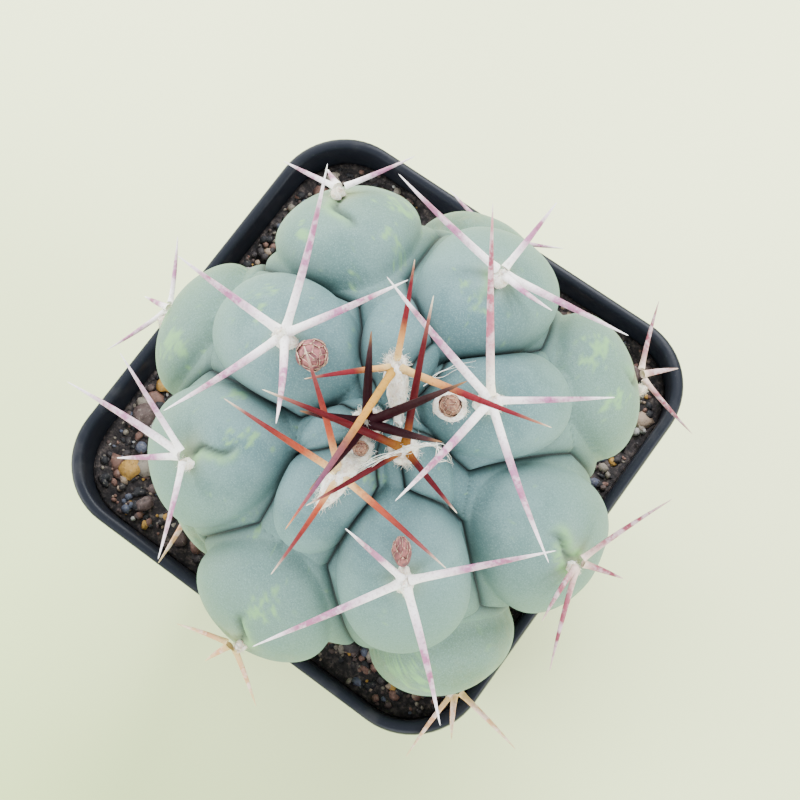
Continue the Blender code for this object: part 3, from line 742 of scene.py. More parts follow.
THIRD = [(0.00, (0.74, 0.58, 0.30)), (0.12, (0.66, 0.36, 0.14)), (0.30, (0.34, 0.060, 0.026)),
         (0.62, (0.165, 0.017, 0.020)), (0.82, (0.20, 0.050, 0.050)), (1.00, (0.68, 0.57, 0.44))]
ROSY = [(0.00, (0.92, 0.84, 0.62)), (0.10, (0.92, 0.84, 0.74)), (0.30, (0.46, 0.13, 0.19)),
        (0.75, (0.27, 0.036, 0.075)), (0.93, (0.55, 0.24, 0.26)), (1.00, (0.88, 0.80, 0.76))]
PALE = [(0.00, (0.95, 0.93, 0.88)), (0.20, (0.92, 0.84, 0.87)), (0.40, (0.40, 0.15, 0.29)),
        (0.72, (0.32, 0.10, 0.19)), (0.84, (0.82, 0.68, 0.76)), (1.00, (0.96, 0.94, 0.92))]
DUSKY = [(0.00, (0.72, 0.56, 0.48)), (0.30, (0.28, 0.060, 0.095)), (0.75, (0.20, 0.030, 0.055)),
         (1.00, (0.60, 0.44, 0.38))]
STRAW = [(0.00, (0.56, 0.40, 0.17)), (0.40, (0.58, 0.28, 0.13)), (1.00, (0.68, 0.52, 0.26))]


def colour_keys(k, number):
    """The colour steps of one spine, by the age of its areole."""
    if k == 2 and number == 3:
        return GOLDEN
    if k == 4 and number == 0:
        return ROSY
    by_age = {0: NEWEST, 1: FRESH, 2: SECOND, 3: THIRD, 9: DUSKY, 11: STRAW, 12: DUSKY, 14: STRAW, 16: STRAW}
    return by_age.get(k, PALE)


def colours_along(keys, along):
    """Colours between the steps, channel by channel."""
    steps = [where for where, _ in keys]
    channels = [np.interp(along, steps, [colour[c] for _, colour in keys]) for c in range(3)]
    return np.stack(channels, axis=-1)


print(sum(len(SPINES.get(k, OLD_SPINES)) for k in range(AREOLE_COUNT)), "spines to make")

# %% [markdown]
# `spine_rod` returns the points of one rod. The middle line starts in the wool, runs straight along
# the spine's direction, gains a bend that grows with the square of the distance and sways a little
# to one side. The rod is slightly flattened, swells at its foot and comes to a fine point.

# %% Build the spines
def spine_line(k, bearing, lift, length, along):
    """Middle line of a spine: root plus direction times distance plus a bend that grows squared."""
    point, (out, side, off) = skin_frame(areole_polar(k), areole_turn(k))
    b, a = math.radians(bearing), math.radians(lift)
    flat = math.cos(b) * out + math.sin(b) * side
    ahead = math.cos(a) * flat + math.sin(a) * off
    bend = math.cos(a) * off - math.sin(a) * flat
    root = point + off * SPINE_ROOT_HEIGHT + flat * SPINE_ROOT_OFFSET
    s = along[:, None]
    return root + ahead * length * s + bend * SPINE_CURVE * length * s ** 2, ahead, bend


def spine_rod(k, bearing, lift, length, rng):
    """Rings carried along the middle line; radius falls as 1 minus distance to the power 2.1."""
    along = np.linspace(0.0, 1.0, SPINE_RINGS) ** 0.9
    line, ahead, bend = spine_line(k, bearing, lift, length, along)
    sway = rng.uniform(-SPINE_SWAY, SPINE_SWAY) * length
    side = np.cross(ahead, bend)
    line = line + side * (sway * np.sin(np.pi * along))[:, None]
    thick = YOUNG_BASE_RADIUS.get(k, SPINE_BASE_RADIUS)
    if length < SHORT_SPINE and k > 0:
        thick = thick * SHORT_SHARE
    radius = SPINE_TIP_RADIUS + (thick - SPINE_TIP_RADIUS) * (1 - along ** 2.1)
    radius = radius * (1 + FOOT_SWELL * np.exp(-(along * length / FOOT_REACH) ** 2))
    angle = spin_columns(SPINE_SIDES)
    ring = np.cos(angle)[:, None] * side * SPINE_WIDE + np.sin(angle)[:, None] * bend * SPINE_FLAT
    return line[:, None, :] + ring[None] * radius[:, None, None], along


def build_spines(finishes):
    """All the spines of an areole in one mesh, one mesh for each areole."""
    rng = np.random.default_rng(11)
    block = grid_faces(SPINE_RINGS, SPINE_SIDES)[:, ::-1]
    size = SPINE_RINGS * SPINE_SIDES
    first = np.arange(SPINE_SIDES)
    for k in range(AREOLE_COUNT):
        points, quads, fans, along_all, colours = [], [], [], [], []
        for number, (bearing, lift, length) in enumerate(SPINES.get(k, OLD_SPINES)):
            rod, along = spine_rod(k, bearing, lift, length * MM, rng)
            start = number * (size + 2)
            middles = rod.mean(axis=1)
            tip = middles[-1] + (middles[-1] - middles[-2]) * 0.4
            points += [rod.reshape(-1, 3), [middles[0], tip]]
            quads.append(block + start)
            fans.append(fan_faces(first + start, start + size, False)[:, ::-1])
            fans.append(fan_faces(first + start + size - SPINE_SIDES, start + size + 1, True))
            every = np.append(np.repeat(along, SPINE_SIDES), [0.0, 1.0])
            along_all.append(every)
            colours.append(colours_along(colour_keys(k, number), every))
            rng.random()  # one number is passed over, which keeps the sway of the spines as it is
        slot = "young_spines" if k < YOUNG_AREOLES else "old_spines"
        add_piece(f"areole_{k:02d}_spines", np.concatenate(points), quads + fans, finishes[slot], slot,
                  [f"areole_{k:02d}"], along=np.concatenate(along_all), colour=np.concatenate(colours))


def make_spine_finish(name, mottling, gloss, shine):
    """Colour from the attribute, broken by pale blotches along the middle and fine darker streaks."""
    finish = Finish(name, Specular_IOR_Level=shine)
    colour = finish.attribute("colour", "Color")
    along = finish.attribute("along")
    blotches = finish.noise(620.0, 3.0, 0.6).band(0.42, 0.62)
    middle = along.band(0.10, 0.35) * (1 - along.band(0.80, 0.97))
    pale = finish.mix(blotches * middle * mottling, colour, (0.94, 0.86, 0.88))
    streaks = finish.noise(2100.0, 2.0)
    darker = finish.mix(streaks.band(0.50, 0.70) * 0.5, pale, (0.60, 0.50, 0.52), "MULTIPLY")
    finish.feed(Base_Color=darker, Roughness=gloss + streaks * 0.15,
                Normal=finish.bump(streaks + blotches * 0.5, 0.00004, 0.35))
    return finish


young_finish = make_spine_finish("young_spine", 0.0, 0.46, 0.09)
old_finish = make_spine_finish("old_spine", 0.40, 0.45, 0.35)
build_spines({"young_spines": young_finish, "old_spines": old_finish})

# %% [markdown]
# ## Wool
#
# Wool fills every areole, white on the young ones and tan on the old. On two young ones it runs as
# a strip from the spines towards the crown. A pad is a patch of skin lifted like a dome, so it
# follows the curve of the pillow under it. On top of it lie hundreds of curly hairs, each a
# three-sided thread of a few faces. The lists give each pad its turn in degrees, then its reach
# outward and inward, its half width and its height, all in millimetres. Two buds have a pad too.

# %% Wool pads
OLD_PAD = (0.0, 0.9, 1.1, 0.9, 1.25)
WOOL_PADS = {0: (0.0, 2.2, 2.6, 2.2, 1.1), 1: (0.0, 2.3, 2.4, 2.1, 0.95), 2: (15.0, 2.0, 8.6, 1.7, 1.4),
             3: (2.0, 6.0, 6.0, 1.8, 1.5), 4: (0.0, 1.9, 2.4, 1.6, 1.6), 5: (0.0, 1.6, 2.0, 1.5, 1.9),
             6: (0.0, 1.3, 2.6, 1.2, 1.6), 7: (0.0, 1.2, 1.5, 1.2, 1.6)}
BUD_WOOL = {4: (10.5, (0.0, 2.3, 2.6, 2.2, 1.35)), 3: (8.5, (0.0, 2.0, 2.0, 1.8, 1.5))}
PAD_RINGS, PAD_COLUMNS = 16, 44


def onto_skin(points, lift):
    """Slide points along the line from the stem's centre to the skin, then lift them."""
    local = (np.asarray(points) - STEM_CENTRE) @ STEM_AXES.T
    polar = np.degrees(np.arccos(local[..., 2] / np.linalg.norm(local, axis=-1)))
    return skin_point(polar, np.degrees(np.arctan2(local[..., 1], local[..., 0])), lift)


def pad_spot(place, pad, r, angle):
    """Points of a pad's oval in the tangent plane, and its dome: (1 - r * r) to the power 0.55."""
    turned, out, inward, half_width, height = pad
    point, (outward, side, _) = place
    x = r * np.where(np.cos(angle) > 0, out, inward) * MM * np.cos(angle)
    y = r * half_width * MM * np.sin(angle)
    c, s = math.cos(math.radians(turned)), math.sin(math.radians(turned))
    flat = point + (x * c - y * s)[..., None] * outward + (x * s + y * c)[..., None] * side
    return flat, height * MM * np.maximum(1 - r ** 2, 0.0) ** 0.55


def build_pad(points, faces, place, pad, seed):
    """Add one woolly dome, with its rim just under the skin, to the growing lists."""
    r = np.linspace(0.0, 1.0, PAD_RINGS)[1:, None] + 0 * spin_columns(PAD_COLUMNS)
    flat, dome = pad_spot(place, pad, r, spin_columns(PAD_COLUMNS) + 0 * r)
    fluff = 0.5 * smooth_noise(flat, 0.9 * MM, seed) + 0.4 * smooth_noise(flat, 0.35 * MM, seed + 1)
    flat = flat + (smooth_noise(flat, 0.7 * MM, seed + 2) * 0.25 * MM * r)[..., None]
    lift = dome * (1 + 0.4 * fluff) + 0.05 * MM * fluff
    lift[-1] = -0.2 * MM
    top = onto_skin(flat, lift)
    start = sum(len(block) for block in points)
    ring = np.arange(PAD_COLUMNS) + start
    foot = start + (PAD_RINGS - 1) * PAD_COLUMNS
    faces.append(grid_faces(PAD_RINGS - 1, PAD_COLUMNS, True, start))
    faces.append(fan_faces(ring, foot, True))
    faces.append(fan_faces(ring + (PAD_RINGS - 2) * PAD_COLUMNS, foot + 1, False))
    ends = onto_skin(np.stack([place[0], place[0]]), np.array([pad[4] * MM, -0.4 * MM]))
    points += [top.reshape(-1, 3), ends]


# %% [markdown]
# A hair starts on a pad, stands up, and then curls. Its middle line is the start plus a direction
# times the distance plus two sine waves across it. All hairs are computed together as one array
# with an axis for the hairs, one for the steps along a hair and one for the three sides.

# %% Curly hairs
HAIR_STEPS, HAIR_RADIUS = 6, 0.03 * MM
YOUNG_HAIRS, OLD_HAIRS = (560, 0.9 * MM), (150, 0.55 * MM)


def unit(vectors):
    """The vectors at length 1."""
    return vectors / np.maximum(np.linalg.norm(vectors, axis=-1, keepdims=True), 1e-12)


def thread_mesh(lines, radius):
    """Three-sided tubes round many lines at once; each tapers to a fifth of its radius at its end."""
    count, steps = lines.shape[:2]
    ahead = unit(np.gradient(lines, axis=1))
    across = unit(np.cross(ahead, np.array([0.31, 0.52, 0.79])))
    second = np.cross(ahead, across)
    angle = spin_columns(3)[None, None, :, None]
    thick = radius[:, None, None, None] * (1 - 0.8 * np.linspace(0, 1, steps) ** 2)[None, :, None, None]
    ring = np.cos(angle) * across[:, :, None] + np.sin(angle) * second[:, :, None]
    offsets = np.arange(count)[:, None, None] * steps * 3
    quads = (grid_faces(steps, 3)[None, :, ::-1] + offsets).reshape(-1, 4)
    ends = np.array([[0, 1, 2], [steps * 3 - 1, steps * 3 - 2, steps * 3 - 3]])
    return (lines[:, :, None] + ring * thick).reshape(-1, 3), [quads, (ends[None] + offsets).reshape(-1, 3)]


def pad_hairs(place, pad, count, reach, rng):
    """Hairs of one pad: root plus ahead * s plus curl * sin(phase + waves * s) to each side."""
    r, angle = np.sqrt(rng.random(count)), rng.uniform(0, math.tau, count)
    flat, dome = pad_spot(place, pad, r, angle)
    roots = onto_skin(flat, dome * 0.9)
    lean = (flat - place[0]) / (pad[3] * MM)
    upright = place[1][2] * rng.uniform(0.0, 0.8, (count, 1))
    ahead = unit(upright + 0.6 * lean + 0.7 * rng.normal(size=(count, 3)))
    across = unit(np.cross(ahead, rng.normal(size=(count, 3))))
    second = np.cross(ahead, across)
    length = (reach * rng.uniform(0.5, 1.3, count))[:, None, None]
    s = np.linspace(0.0, 1.0, HAIR_STEPS)[None, :, None]
    phase, waves = rng.uniform(0, math.tau, (2, count, 1, 1)), rng.uniform(2.0, 6.0, (2, count, 1, 1))
    swing = [(np.sin(phase[i] + waves[i] * s) - np.sin(phase[i])) * 0.2 * length for i in range(2)]
    straight = roots[:, None] + ahead[:, None] * length * s
    return straight + across[:, None] * swing[0] + second[:, None] * swing[1]


# %% [markdown]
# A few long threads have come loose. They sweep over the crown from one areole to the next and end
# in kinks. Each follows a quadratic curve through three spots above the skin, given as an angle
# from the crown, a turn and a height, with small random waves added.

# %% Loose threads
LOOSE_THREADS = [
    (9, 0.045, 0.30, [(18, 277, 2.4), (11, 325, 3.6), (19, 10, 2.6)]),
    (5, 0.055, 0.45, [(11, 335, 3.0), (16, 3, 2.6), (26, 1, 1.6)]),
    (3, 0.070, 0.35, [(17, 9, 2.4), (20, 358, 2.8), (28, 4, 1.2)]),
    (3, 0.065, 0.50, [(16, 78, 0.8), (23, 76, 1.6), (31, 69, 0.7)]),
    (4, 0.040, 0.50, [(14, 118, 1.2), (8, 96, 1.8), (10, 20, 2.0)]),
]
THREAD_STEPS = 26


def loose_threads(rng):
    """Curve (1-t)(1-t) a + 2t(1-t) m + t t c, with m set so that it passes the middle spot."""
    lines, radii = [], []
    t = np.linspace(0.0, 1.0, THREAD_STEPS)[:, None]
    for count, radius, spread, spots in LOOSE_THREADS:
        spot = np.array([skin_point(polar, turn, lift * MM) for polar, turn, lift in spots])
        for _ in range(count):
            first, middle, last = spot + rng.normal(size=(3, 3)) * spread * MM
            control = 2 * middle - (first + last) / 2
            line = (1 - t) ** 2 * first + 2 * t * (1 - t) * control + t ** 2 * last
            waves = rng.uniform(6, 16, 3) * t + rng.uniform(0, math.tau, 3)
            lines.append(line + np.sin(waves) * rng.uniform(0.05, 0.25, 3) * MM)
            radii.append(radius * MM * rng.uniform(0.7, 1.3))
    return np.array(lines), np.array(radii)


def make_wool_finish():
    """Soft cream with painted shade, tan, in the hollows between tufts, and dustier with age."""
    finish = Finish("wool", Sheen_Weight=0.3, Sheen_Roughness=0.5, Roughness=0.9,
                    Subsurface_Weight=0.15, Subsurface_Scale=0.001)
    dust = finish.noise(900.0, 3.0).band(0.38, 0.66)
    tufts = finish.noise(2600.0, 3.0, 0.65)
    clean = finish.mix(dust, (0.86, 0.80, 0.68), (0.97, 0.95, 0.90))
    # Painted shade: tan in the hollows between tufts, where the bump is low.
    tuft_hollow_shade = finish.mix((1 - tufts.band(0.36, 0.52)) * 0.5, clean, (0.50, 0.39, 0.24))
    dusty = finish.mix(finish.attribute("age") * 0.55, tuft_hollow_shade, (0.52, 0.42, 0.27))
    finish.feed(Base_Color=dusty, Normal=finish.bump(tufts, 0.00022, 0.9))
    return finish


def build_wool(finish):
    """Every pad, every hair and the loose threads."""
    rng = np.random.default_rng(5)
    pads = [(skin_frame(areole_polar(k), areole_turn(k)), WOOL_PADS.get(k, OLD_PAD), k)
            for k in range(AREOLE_COUNT)]
    pads += [(skin_frame(areole_polar(k) - inward, areole_turn(k)), pad, k)
             for k, (inward, pad) in BUD_WOOL.items()]
    points, faces, hairs, pad_ages, hair_ages = [], [], [], [], []
    for number, (place, pad, k) in enumerate(pads):
        build_pad(points, faces, place, pad, 20 + 3 * number)
        hairs.append(pad_hairs(place, pad, *(YOUNG_HAIRS if k < YOUNG_AREOLES else OLD_HAIRS), rng))
        age = min(max(k - 6, 0) / 6, 1.0)
        pad_ages += [age] * (len(points[-1]) + len(points[-2]))
        hair_ages += [age] * len(hairs[-1])
    add_piece("areole_wool", np.concatenate(points), faces, finish, "old_spines", age=np.array(pad_ages))
    lines = np.concatenate(hairs)
    hair_points, hair_faces = thread_mesh(lines, np.full(len(lines), HAIR_RADIUS))
    add_piece("areole_hairs", hair_points, hair_faces, finish, "old_spines",
              age=np.repeat(hair_ages, len(hair_points) // len(lines)))
    thread_points, thread_faces = thread_mesh(*loose_threads(rng))
    add_piece("loose_threads", thread_points, thread_faces, finish, "old_spines",
              age=np.zeros(len(thread_points)))


wool_finish = make_wool_finish()
build_wool(wool_finish)

# %% [markdown]
# ## Flower buds
#
# Four buds sit on the crown side of their areoles. A bud is a small ovoid covered in overlapping
# scales, pink-brown with a cream edge, set in a spiral like the scales of a cone. The two young
# ones are more beige, and dark at the foot. Each scale is a thin closed leaf laid on the ovoid: its
# outline is a pointed arch, and its tip stands off a little more than its foot, so the row above
# tucks in behind it. There the foot of each scale is dark, as painted shade.

# %% Scales and buds
BUDS = {3: (1.8, 1.25, 8.5, 0), 4: (2.4, 1.75, 10.5, 0), 5: (3.4, 2.45, 9.5, 22), 6: (3.3, 1.5, 8.0, 50)}
SCALE_ROWS, SCALE_COLUMNS = 7, 7
SCALES_PER_BUD = 22
SCALE_TURN = 137.5
CORE_RINGS, CORE_COLUMNS, CORE_REACH = 16, 24, 0.98
YOUNG_BUDS = (3, 4)


def bud_radius(height):
    """Radius of the ovoid at a share of its height from -1 at the foot to 1 at the top."""
    taper = 1 - 0.25 * np.clip(height, 0.0, 1.0)
    return np.sqrt(np.clip(1 - height ** 2, 0.0, 1.0)) * taper


def scale_leaf(number, rng):
    """One scale in the ovoid's own units: along v it climbs, across u it wraps round the ovoid."""
    share = number / (SCALES_PER_BUD - 1)
    foot = -0.75 + 1.45 * share ** 0.85
    size = 0.95 - 0.45 * share
    u = np.linspace(-1.0, 1.0, SCALE_COLUMNS)[None, :]
    v = np.linspace(0.0, 1.0, SCALE_ROWS)[:, None]
    arch = np.sqrt(np.clip(1 - v ** 2.4, 0.0, 1.0)) * 0.96 + 0.04
    height = np.clip(foot + v * size * (1 - 0.12 * u ** 2), -1.0, 0.995)
    round_at = np.maximum(bud_radius(foot + 0.5 * size + 0 * height), 0.25)
    turn = math.radians(SCALE_TURN * number) + u * arch * 0.62 * size / round_at
    lift = 0.80 + 0.23 * v ** 0.8 - 0.06 * u ** 2 + 0.015 * rng.normal()
    radius = np.maximum(bud_radius(height), 0.05) * lift
    outer = np.stack([radius * np.cos(turn), radius * np.sin(turn), height + 0.03 * v * lift], axis=-1)
    inner = outer * np.array([0.95, 0.95, 1.0]) - np.array([0.0, 0.0, 0.025])
    # Above 0 this is the cream edge of the scale. Below 0, at its foot, it is painted shade where the scale
    # tucks behind the scales below.
    margin = np.clip(np.maximum(np.abs(u) ** 4 * v ** 0.5, v ** 7 + 0 * u) - 0.6 * (1 - v) ** 5, -1.0, 1.0)
    return outer, inner, margin


def leaf_faces(start):
    """Outer face, inner face and the strip that joins their edges."""
    grid = grid_faces(SCALE_ROWS, SCALE_COLUMNS, False)
    numbers = np.arange(SCALE_ROWS * SCALE_COLUMNS).reshape(SCALE_ROWS, SCALE_COLUMNS)
    edge = np.concatenate([numbers[0], numbers[1:, -1], numbers[-1, -2::-1], numbers[-2:0:-1, 0]])
    after = np.roll(edge, -1)
    back = SCALE_ROWS * SCALE_COLUMNS
    rim = np.stack([edge, after, after + back, edge + back], axis=-1)
    return [grid[:, ::-1] + start, grid + back + start, rim[:, ::-1] + start]


def build_bud(k, finish, rng):
    """The ovoid inside, and its scales, carried to the skin and scaled to the bud's size."""
    half_height, half_width, inward, tilt = BUDS[k]
    point, (out, side, off) = skin_frame(areole_polar(k) - inward, areole_turn(k))
    size = np.array([half_width, half_width, half_height]) * MM
    centre = point + off * 0.7 * half_height * MM
    c, s = math.cos(math.radians(tilt)), math.sin(math.radians(tilt))
    axes = np.stack([out * c + off * s, side, off * c - out * s])

    def carry(shape):
        return (np.asarray(shape).reshape(-1, 3) * size) @ axes + centre

    heights = np.linspace(-CORE_REACH, CORE_REACH, CORE_RINGS)[:, None]
    angle = spin_columns(CORE_COLUMNS)[None, :]
    radius = bud_radius(heights) * 0.84
    core = np.stack([radius * np.cos(angle), radius * np.sin(angle), heights + 0 * angle], axis=-1)[::-1]
    points = [carry(core), carry([[0, 0, CORE_REACH], [0, 0, -CORE_REACH]])]
    size_of_core = CORE_RINGS * CORE_COLUMNS
    ring = np.arange(CORE_COLUMNS)
    faces = [grid_faces(CORE_RINGS, CORE_COLUMNS), fan_faces(ring, size_of_core, True),
             fan_faces(ring + size_of_core - CORE_COLUMNS, size_of_core + 1, False)]
    start = size_of_core + 2
    margins = [np.zeros(start)]
    for number in range(SCALES_PER_BUD):
        outer, inner, margin = scale_leaf(number, rng)
        points += [carry(outer), carry(inner)]
        faces += leaf_faces(start)
        if k in YOUNG_BUDS:
            margin = np.where(outer[..., 2] < 0.15, -0.7, margin)
        margins += [margin.ravel(), margin.ravel()]
        start += 2 * SCALE_ROWS * SCALE_COLUMNS
    add_piece(f"flower_bud_{k:02d}_scales", np.concatenate(points), faces, finish, "bud_scales",
              [f"flower_bud_{k:02d}"], margin=np.concatenate(margins),
              beige=np.full(start, 0.85 if k in YOUNG_BUDS else 0.1))


def make_bud_finish():
    """Blotched mauve or beige inside, a cream edge, and dark where the value is below 0, which is painted
    shade at each scale's foot.
    """
    finish = Finish("bud_scale", Specular_IOR_Level=0.4)
    margin = finish.attribute("margin")
    blush = finish.noise(1100.0, 3.0).band(0.36, 0.66)
    mauve = finish.mix(blush, (0.105, 0.022, 0.034), (0.28, 0.080, 0.090))
    beige = finish.mix(blush, (0.13, 0.050, 0.032), (0.36, 0.19, 0.11))
    inside = finish.mix(finish.attribute("beige"), mauve, beige)
    # Painted shade: dark at the foot of each scale, where it tucks behind the scales below. The young buds
    # are also dark over their lower part.
    inside = finish.mix(((0 - margin) * 1.6).clamped(), inside, (0.035, 0.012, 0.010))
    finish.feed(Base_Color=finish.mix(margin.band(0.40, 0.95), inside, (0.74, 0.54, 0.38)),
                Roughness=0.5 + blush * 0.2, Normal=finish.bump(finish.noise(2600.0, 2.0), 0.00004, 0.5))
    return finish


bud_finish = make_bud_finish()
bud_rng = np.random.default_rng(8)
for bud_k in BUDS:
    build_bud(bud_k, bud_finish, bud_rng)

# %% [markdown]
# ## The pot
#
# The pot is one moulding: a tapered square tub with rounded corners, a collar that steps out near
# the top and a thick lip. Its section is a short list of points. Each corner of that section is
# rounded off, and the section is carried round a square with rounded corners, as a loft.

# %% Section and loft of the pot
pot_low, pot_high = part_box("pot")
RIM_WIDTH = round(pot_high.x - pot_low.x, 4)
BASE_WIDTH = 56.0 * MM
RIM_CORNER, BASE_CORNER = 12.5 * MM, 9.0 * MM
WALL, FLOOR = 1.2 * MM, 1.5 * MM
COLLAR_HEIGHT, COLLAR_STEP = 9.0 * MM, 1.2 * MM
LIP_HEIGHT, LIP_PROUD = 2.2 * MM, 0.6 * MM
HEADSPACE = 5.5 * MM
HOLE_RADIUS, HOLE_OFFSET = 3.5 * MM, 15.0 * MM
CORNER_STEPS, HOLE_STEPS = 14, 32
SECTION_ROUNDING = 0.8 * MM
SHARP_ANGLE = 40.0


def pot_corner(height):
    """Corner radius of the outside at a height: it grows evenly from base to rim."""
    return BASE_CORNER + (RIM_CORNER - BASE_CORNER) * height / POT_HEIGHT


def body_half(height):
    """Half the width of the tapered body, below the collar, at a height."""
    top = RIM_WIDTH / 2 - LIP_PROUD - COLLAR_STEP
    return BASE_WIDTH / 2 + (top - BASE_WIDTH / 2) * height / (POT_HEIGHT - COLLAR_HEIGHT)


def rounded_square(half, corner):
    """Points round a square with rounded corners: quarter arcs about four centres."""
    sweep = np.linspace(0, math.pi / 2, CORNER_STEPS + 1)
    quarters = []
    for quarter in range(4):
        middle = (quarter + 0.5) * math.pi / 2
        centre = math.sqrt(2) * (half - corner) * np.array([math.cos(middle), math.sin(middle)])
        angle = sweep + quarter * math.pi / 2
        quarters.append(centre + corner * np.stack([np.cos(angle), np.sin(angle)], axis=1))
    return np.concatenate(quarters)


def softened(points, radius, steps=5):
    """Round each inner corner of a line with a curve from a point before it to a point after it."""
    points = [np.array(point, float) for point in points]
    result = [points[0]]
    for before, corner, after in zip(points, points[1:], points[2:]):
        back, ahead = before - corner, after - corner
        reach = min(radius, np.linalg.norm(back) * 0.48, np.linalg.norm(ahead) * 0.48)
        start = corner + back / np.linalg.norm(back) * reach
        end = corner + ahead / np.linalg.norm(ahead) * reach
        for t in np.linspace(0, 1, steps):
            result.append((1 - t) ** 2 * start + 2 * t * (1 - t) * corner + t * t * end)
    return np.array(result + [points[-1]])


collar_bottom = POT_HEIGHT - COLLAR_HEIGHT
collar_outer = RIM_WIDTH / 2 - LIP_PROUD
collar_inner = collar_outer - WALL
OUTSIDE = [(BASE_WIDTH / 2 - 1.2 * MM, 0.0), (BASE_WIDTH / 2, 1.2 * MM),
           (body_half(collar_bottom), collar_bottom), (collar_outer, collar_bottom + 0.7 * MM),
           (collar_outer, POT_HEIGHT - LIP_HEIGHT - LIP_PROUD), (RIM_WIDTH / 2, POT_HEIGHT - LIP_HEIGHT),
           (RIM_WIDTH / 2, POT_HEIGHT)]
INSIDE = [(collar_inner, POT_HEIGHT), (collar_inner - 0.3 * MM, POT_HEIGHT - LIP_HEIGHT),
          (collar_inner - 0.6 * MM, collar_bottom + 1.2 * MM),
          (body_half(collar_bottom) - WALL, collar_bottom - 1.2 * MM), (body_half(FLOOR) - WALL, FLOOR)]


def loft_section(section, thickness_at):
    """Carry the section round the rounded square, as an array of rings."""
    rings = []
    for (half, height), inside in zip(section, thickness_at):
        flat = rounded_square(half, pot_corner(height) - inside)
        rings.append(np.column_stack([flat, np.full(len(flat), height)]))
    return np.array(rings)


def build_pot(finish):
    """The tub from base to lip and down inside to the floor, with four holes cut through."""
    section = softened(OUTSIDE + INSIDE, SECTION_ROUNDING)
    crest = int(np.argmax(section[:, 1] >= POT_HEIGHT - 1e-6))
    inside = np.clip((np.arange(len(section)) - crest) / 4.0, 0.0, 1.0) * WALL
    rings = loft_section(section, inside)
    rows, columns = rings.shape[:2]
    points = np.concatenate([rings.reshape(-1, 3), [(0, 0, 0), (0, 0, FLOOR)]])
    ring = np.arange(columns)
    faces = [grid_faces(rows, columns)[:, ::-1], fan_faces(ring, rows * columns, False),
             fan_faces(ring + (rows - 1) * columns, rows * columns + 1, True)]
    pot = add_piece("nursery_pot", points, faces, finish, "pot_plastic", ["pot"])
    cut_holes(pot)
    pot.data.set_sharp_from_angle(angle=math.radians(SHARP_ANGLE))


def cut_holes(pot):
    """Take four round drainage holes out of the floor with an exact Boolean."""
    around = spin_columns(HOLE_STEPS)
    ring = np.arange(HOLE_STEPS)
    low, high = -2 * FLOOR, 3 * FLOOR
    points, faces = [], []
    for number, (x, y) in enumerate([(a, b) for a in (-1, 1) for b in (-1, 1)]):
        circle = np.stack([x * HOLE_OFFSET + HOLE_RADIUS * np.cos(around),
                           y * HOLE_OFFSET + HOLE_RADIUS * np.sin(around)], axis=1)
        points += [np.column_stack([circle, np.full(HOLE_STEPS, height)]) for height in (high, low)]
        start = 2 * HOLE_STEPS * number
        faces += grid_faces(2, HOLE_STEPS, True, start).tolist()
        faces += [(ring + start).tolist(), (ring[::-1] + start + HOLE_STEPS).tolist()]
    mesh = bpy.data.meshes.new("hole_cutter")
    mesh.from_pydata(np.concatenate(points).tolist(), [], faces)
    cutter = bpy.data.objects.new("hole_cutter", mesh)
    bpy.context.scene.collection.objects.link(cutter)
    modifier = pot.modifiers.new("holes", "BOOLEAN")
    modifier.operation = "DIFFERENCE"
    modifier.object = cutter
    modifier.solver = "EXACT"
    graph = bpy.context.evaluated_depsgraph_get()
    cut = bpy.data.meshes.new_from_object(pot.evaluated_get(graph))
    pot.modifiers.clear()
    pot.data = cut
    bpy.data.objects.remove(cutter)


def make_pot_finish():
    """Black plastic, faintly grained from the mould, scuffed and dusty in places."""
    finish = Finish("pot_plastic", Specular_IOR_Level=0.14)
    dust = finish.noise(160.0, 4.0, 0.6).band(0.50, 0.78)
    scuffs = finish.noise(1.0, 3.0, 0.7, finish.stretched((2600.0, 2600.0, 240.0))).band(0.62, 0.80)
    grain = finish.noise(2800.0, 2.0)
    dusty = finish.mix(dust * 0.10, (0.011, 0.013, 0.019), (0.15, 0.14, 0.13))
    finish.feed(Base_Color=finish.mix(scuffs * 0.18, dusty, (0.16, 0.17, 0.19)),
                Roughness=0.34 + dust * 0.25 + scuffs * 0.15,
                Normal=finish.bump(grain + scuffs * 0.4, 0.00003, 0.5))
    return finish


build_pot(make_pot_finish())

# %% [markdown]
# ## Soil and grit
#
# The soil is a lumpy sheet that fills the pot to a few millimetres below the lip. It dips wherever
# the stem reaches down, so the neck stands in a hollow of its own. To know where that is, the
# stem's points are dropped into square bins, and each bin keeps its lowest point.

# %% The soil's surface
SOIL_LEVEL = POT_HEIGHT - HEADSPACE
SOIL_RINGS = 60
BIN = 1.0 * MM
BINS = 96
NO_STEM = 1.0
STEM_GAP, WALL_GAP = 0.4 * MM, 0.3 * MM


def bin_of(x, y):
    """Column and row of the bin that each spot lies in."""
    return tuple(np.clip((value / BIN + BINS / 2).astype(int), 0, BINS - 1) for value in (x, y))


def underside_map(points):
    """The stem's lowest height in each bin or beside it, and NO_STEM where there is none."""
    low = points[points[..., 2] < STEM_CENTRE[2] + 4 * MM]
    lowest = np.full((BINS, BINS), NO_STEM)
    np.minimum.at(lowest, bin_of(low[:, 0], low[:, 1]), low[:, 2])
    padded = np.pad(lowest, 1, constant_values=NO_STEM)
    near = [padded[a:a + BINS, b:b + BINS] for a in range(3) for b in range(3)]
    return np.min(near, axis=0)


def soil_height(x, y):
    """Level plus lumps of three sizes."""
    spot = np.stack([x, y, 0 * x], axis=-1)
    lumps = 0.8 * smooth_noise(spot, 7 * MM, 41) + 0.45 * smooth_noise(spot, 2.2 * MM, 42)
    return SOIL_LEVEL + (lumps + 0.25 * smooth_noise(spot, 0.9 * MM, 43)) * MM * 0.8


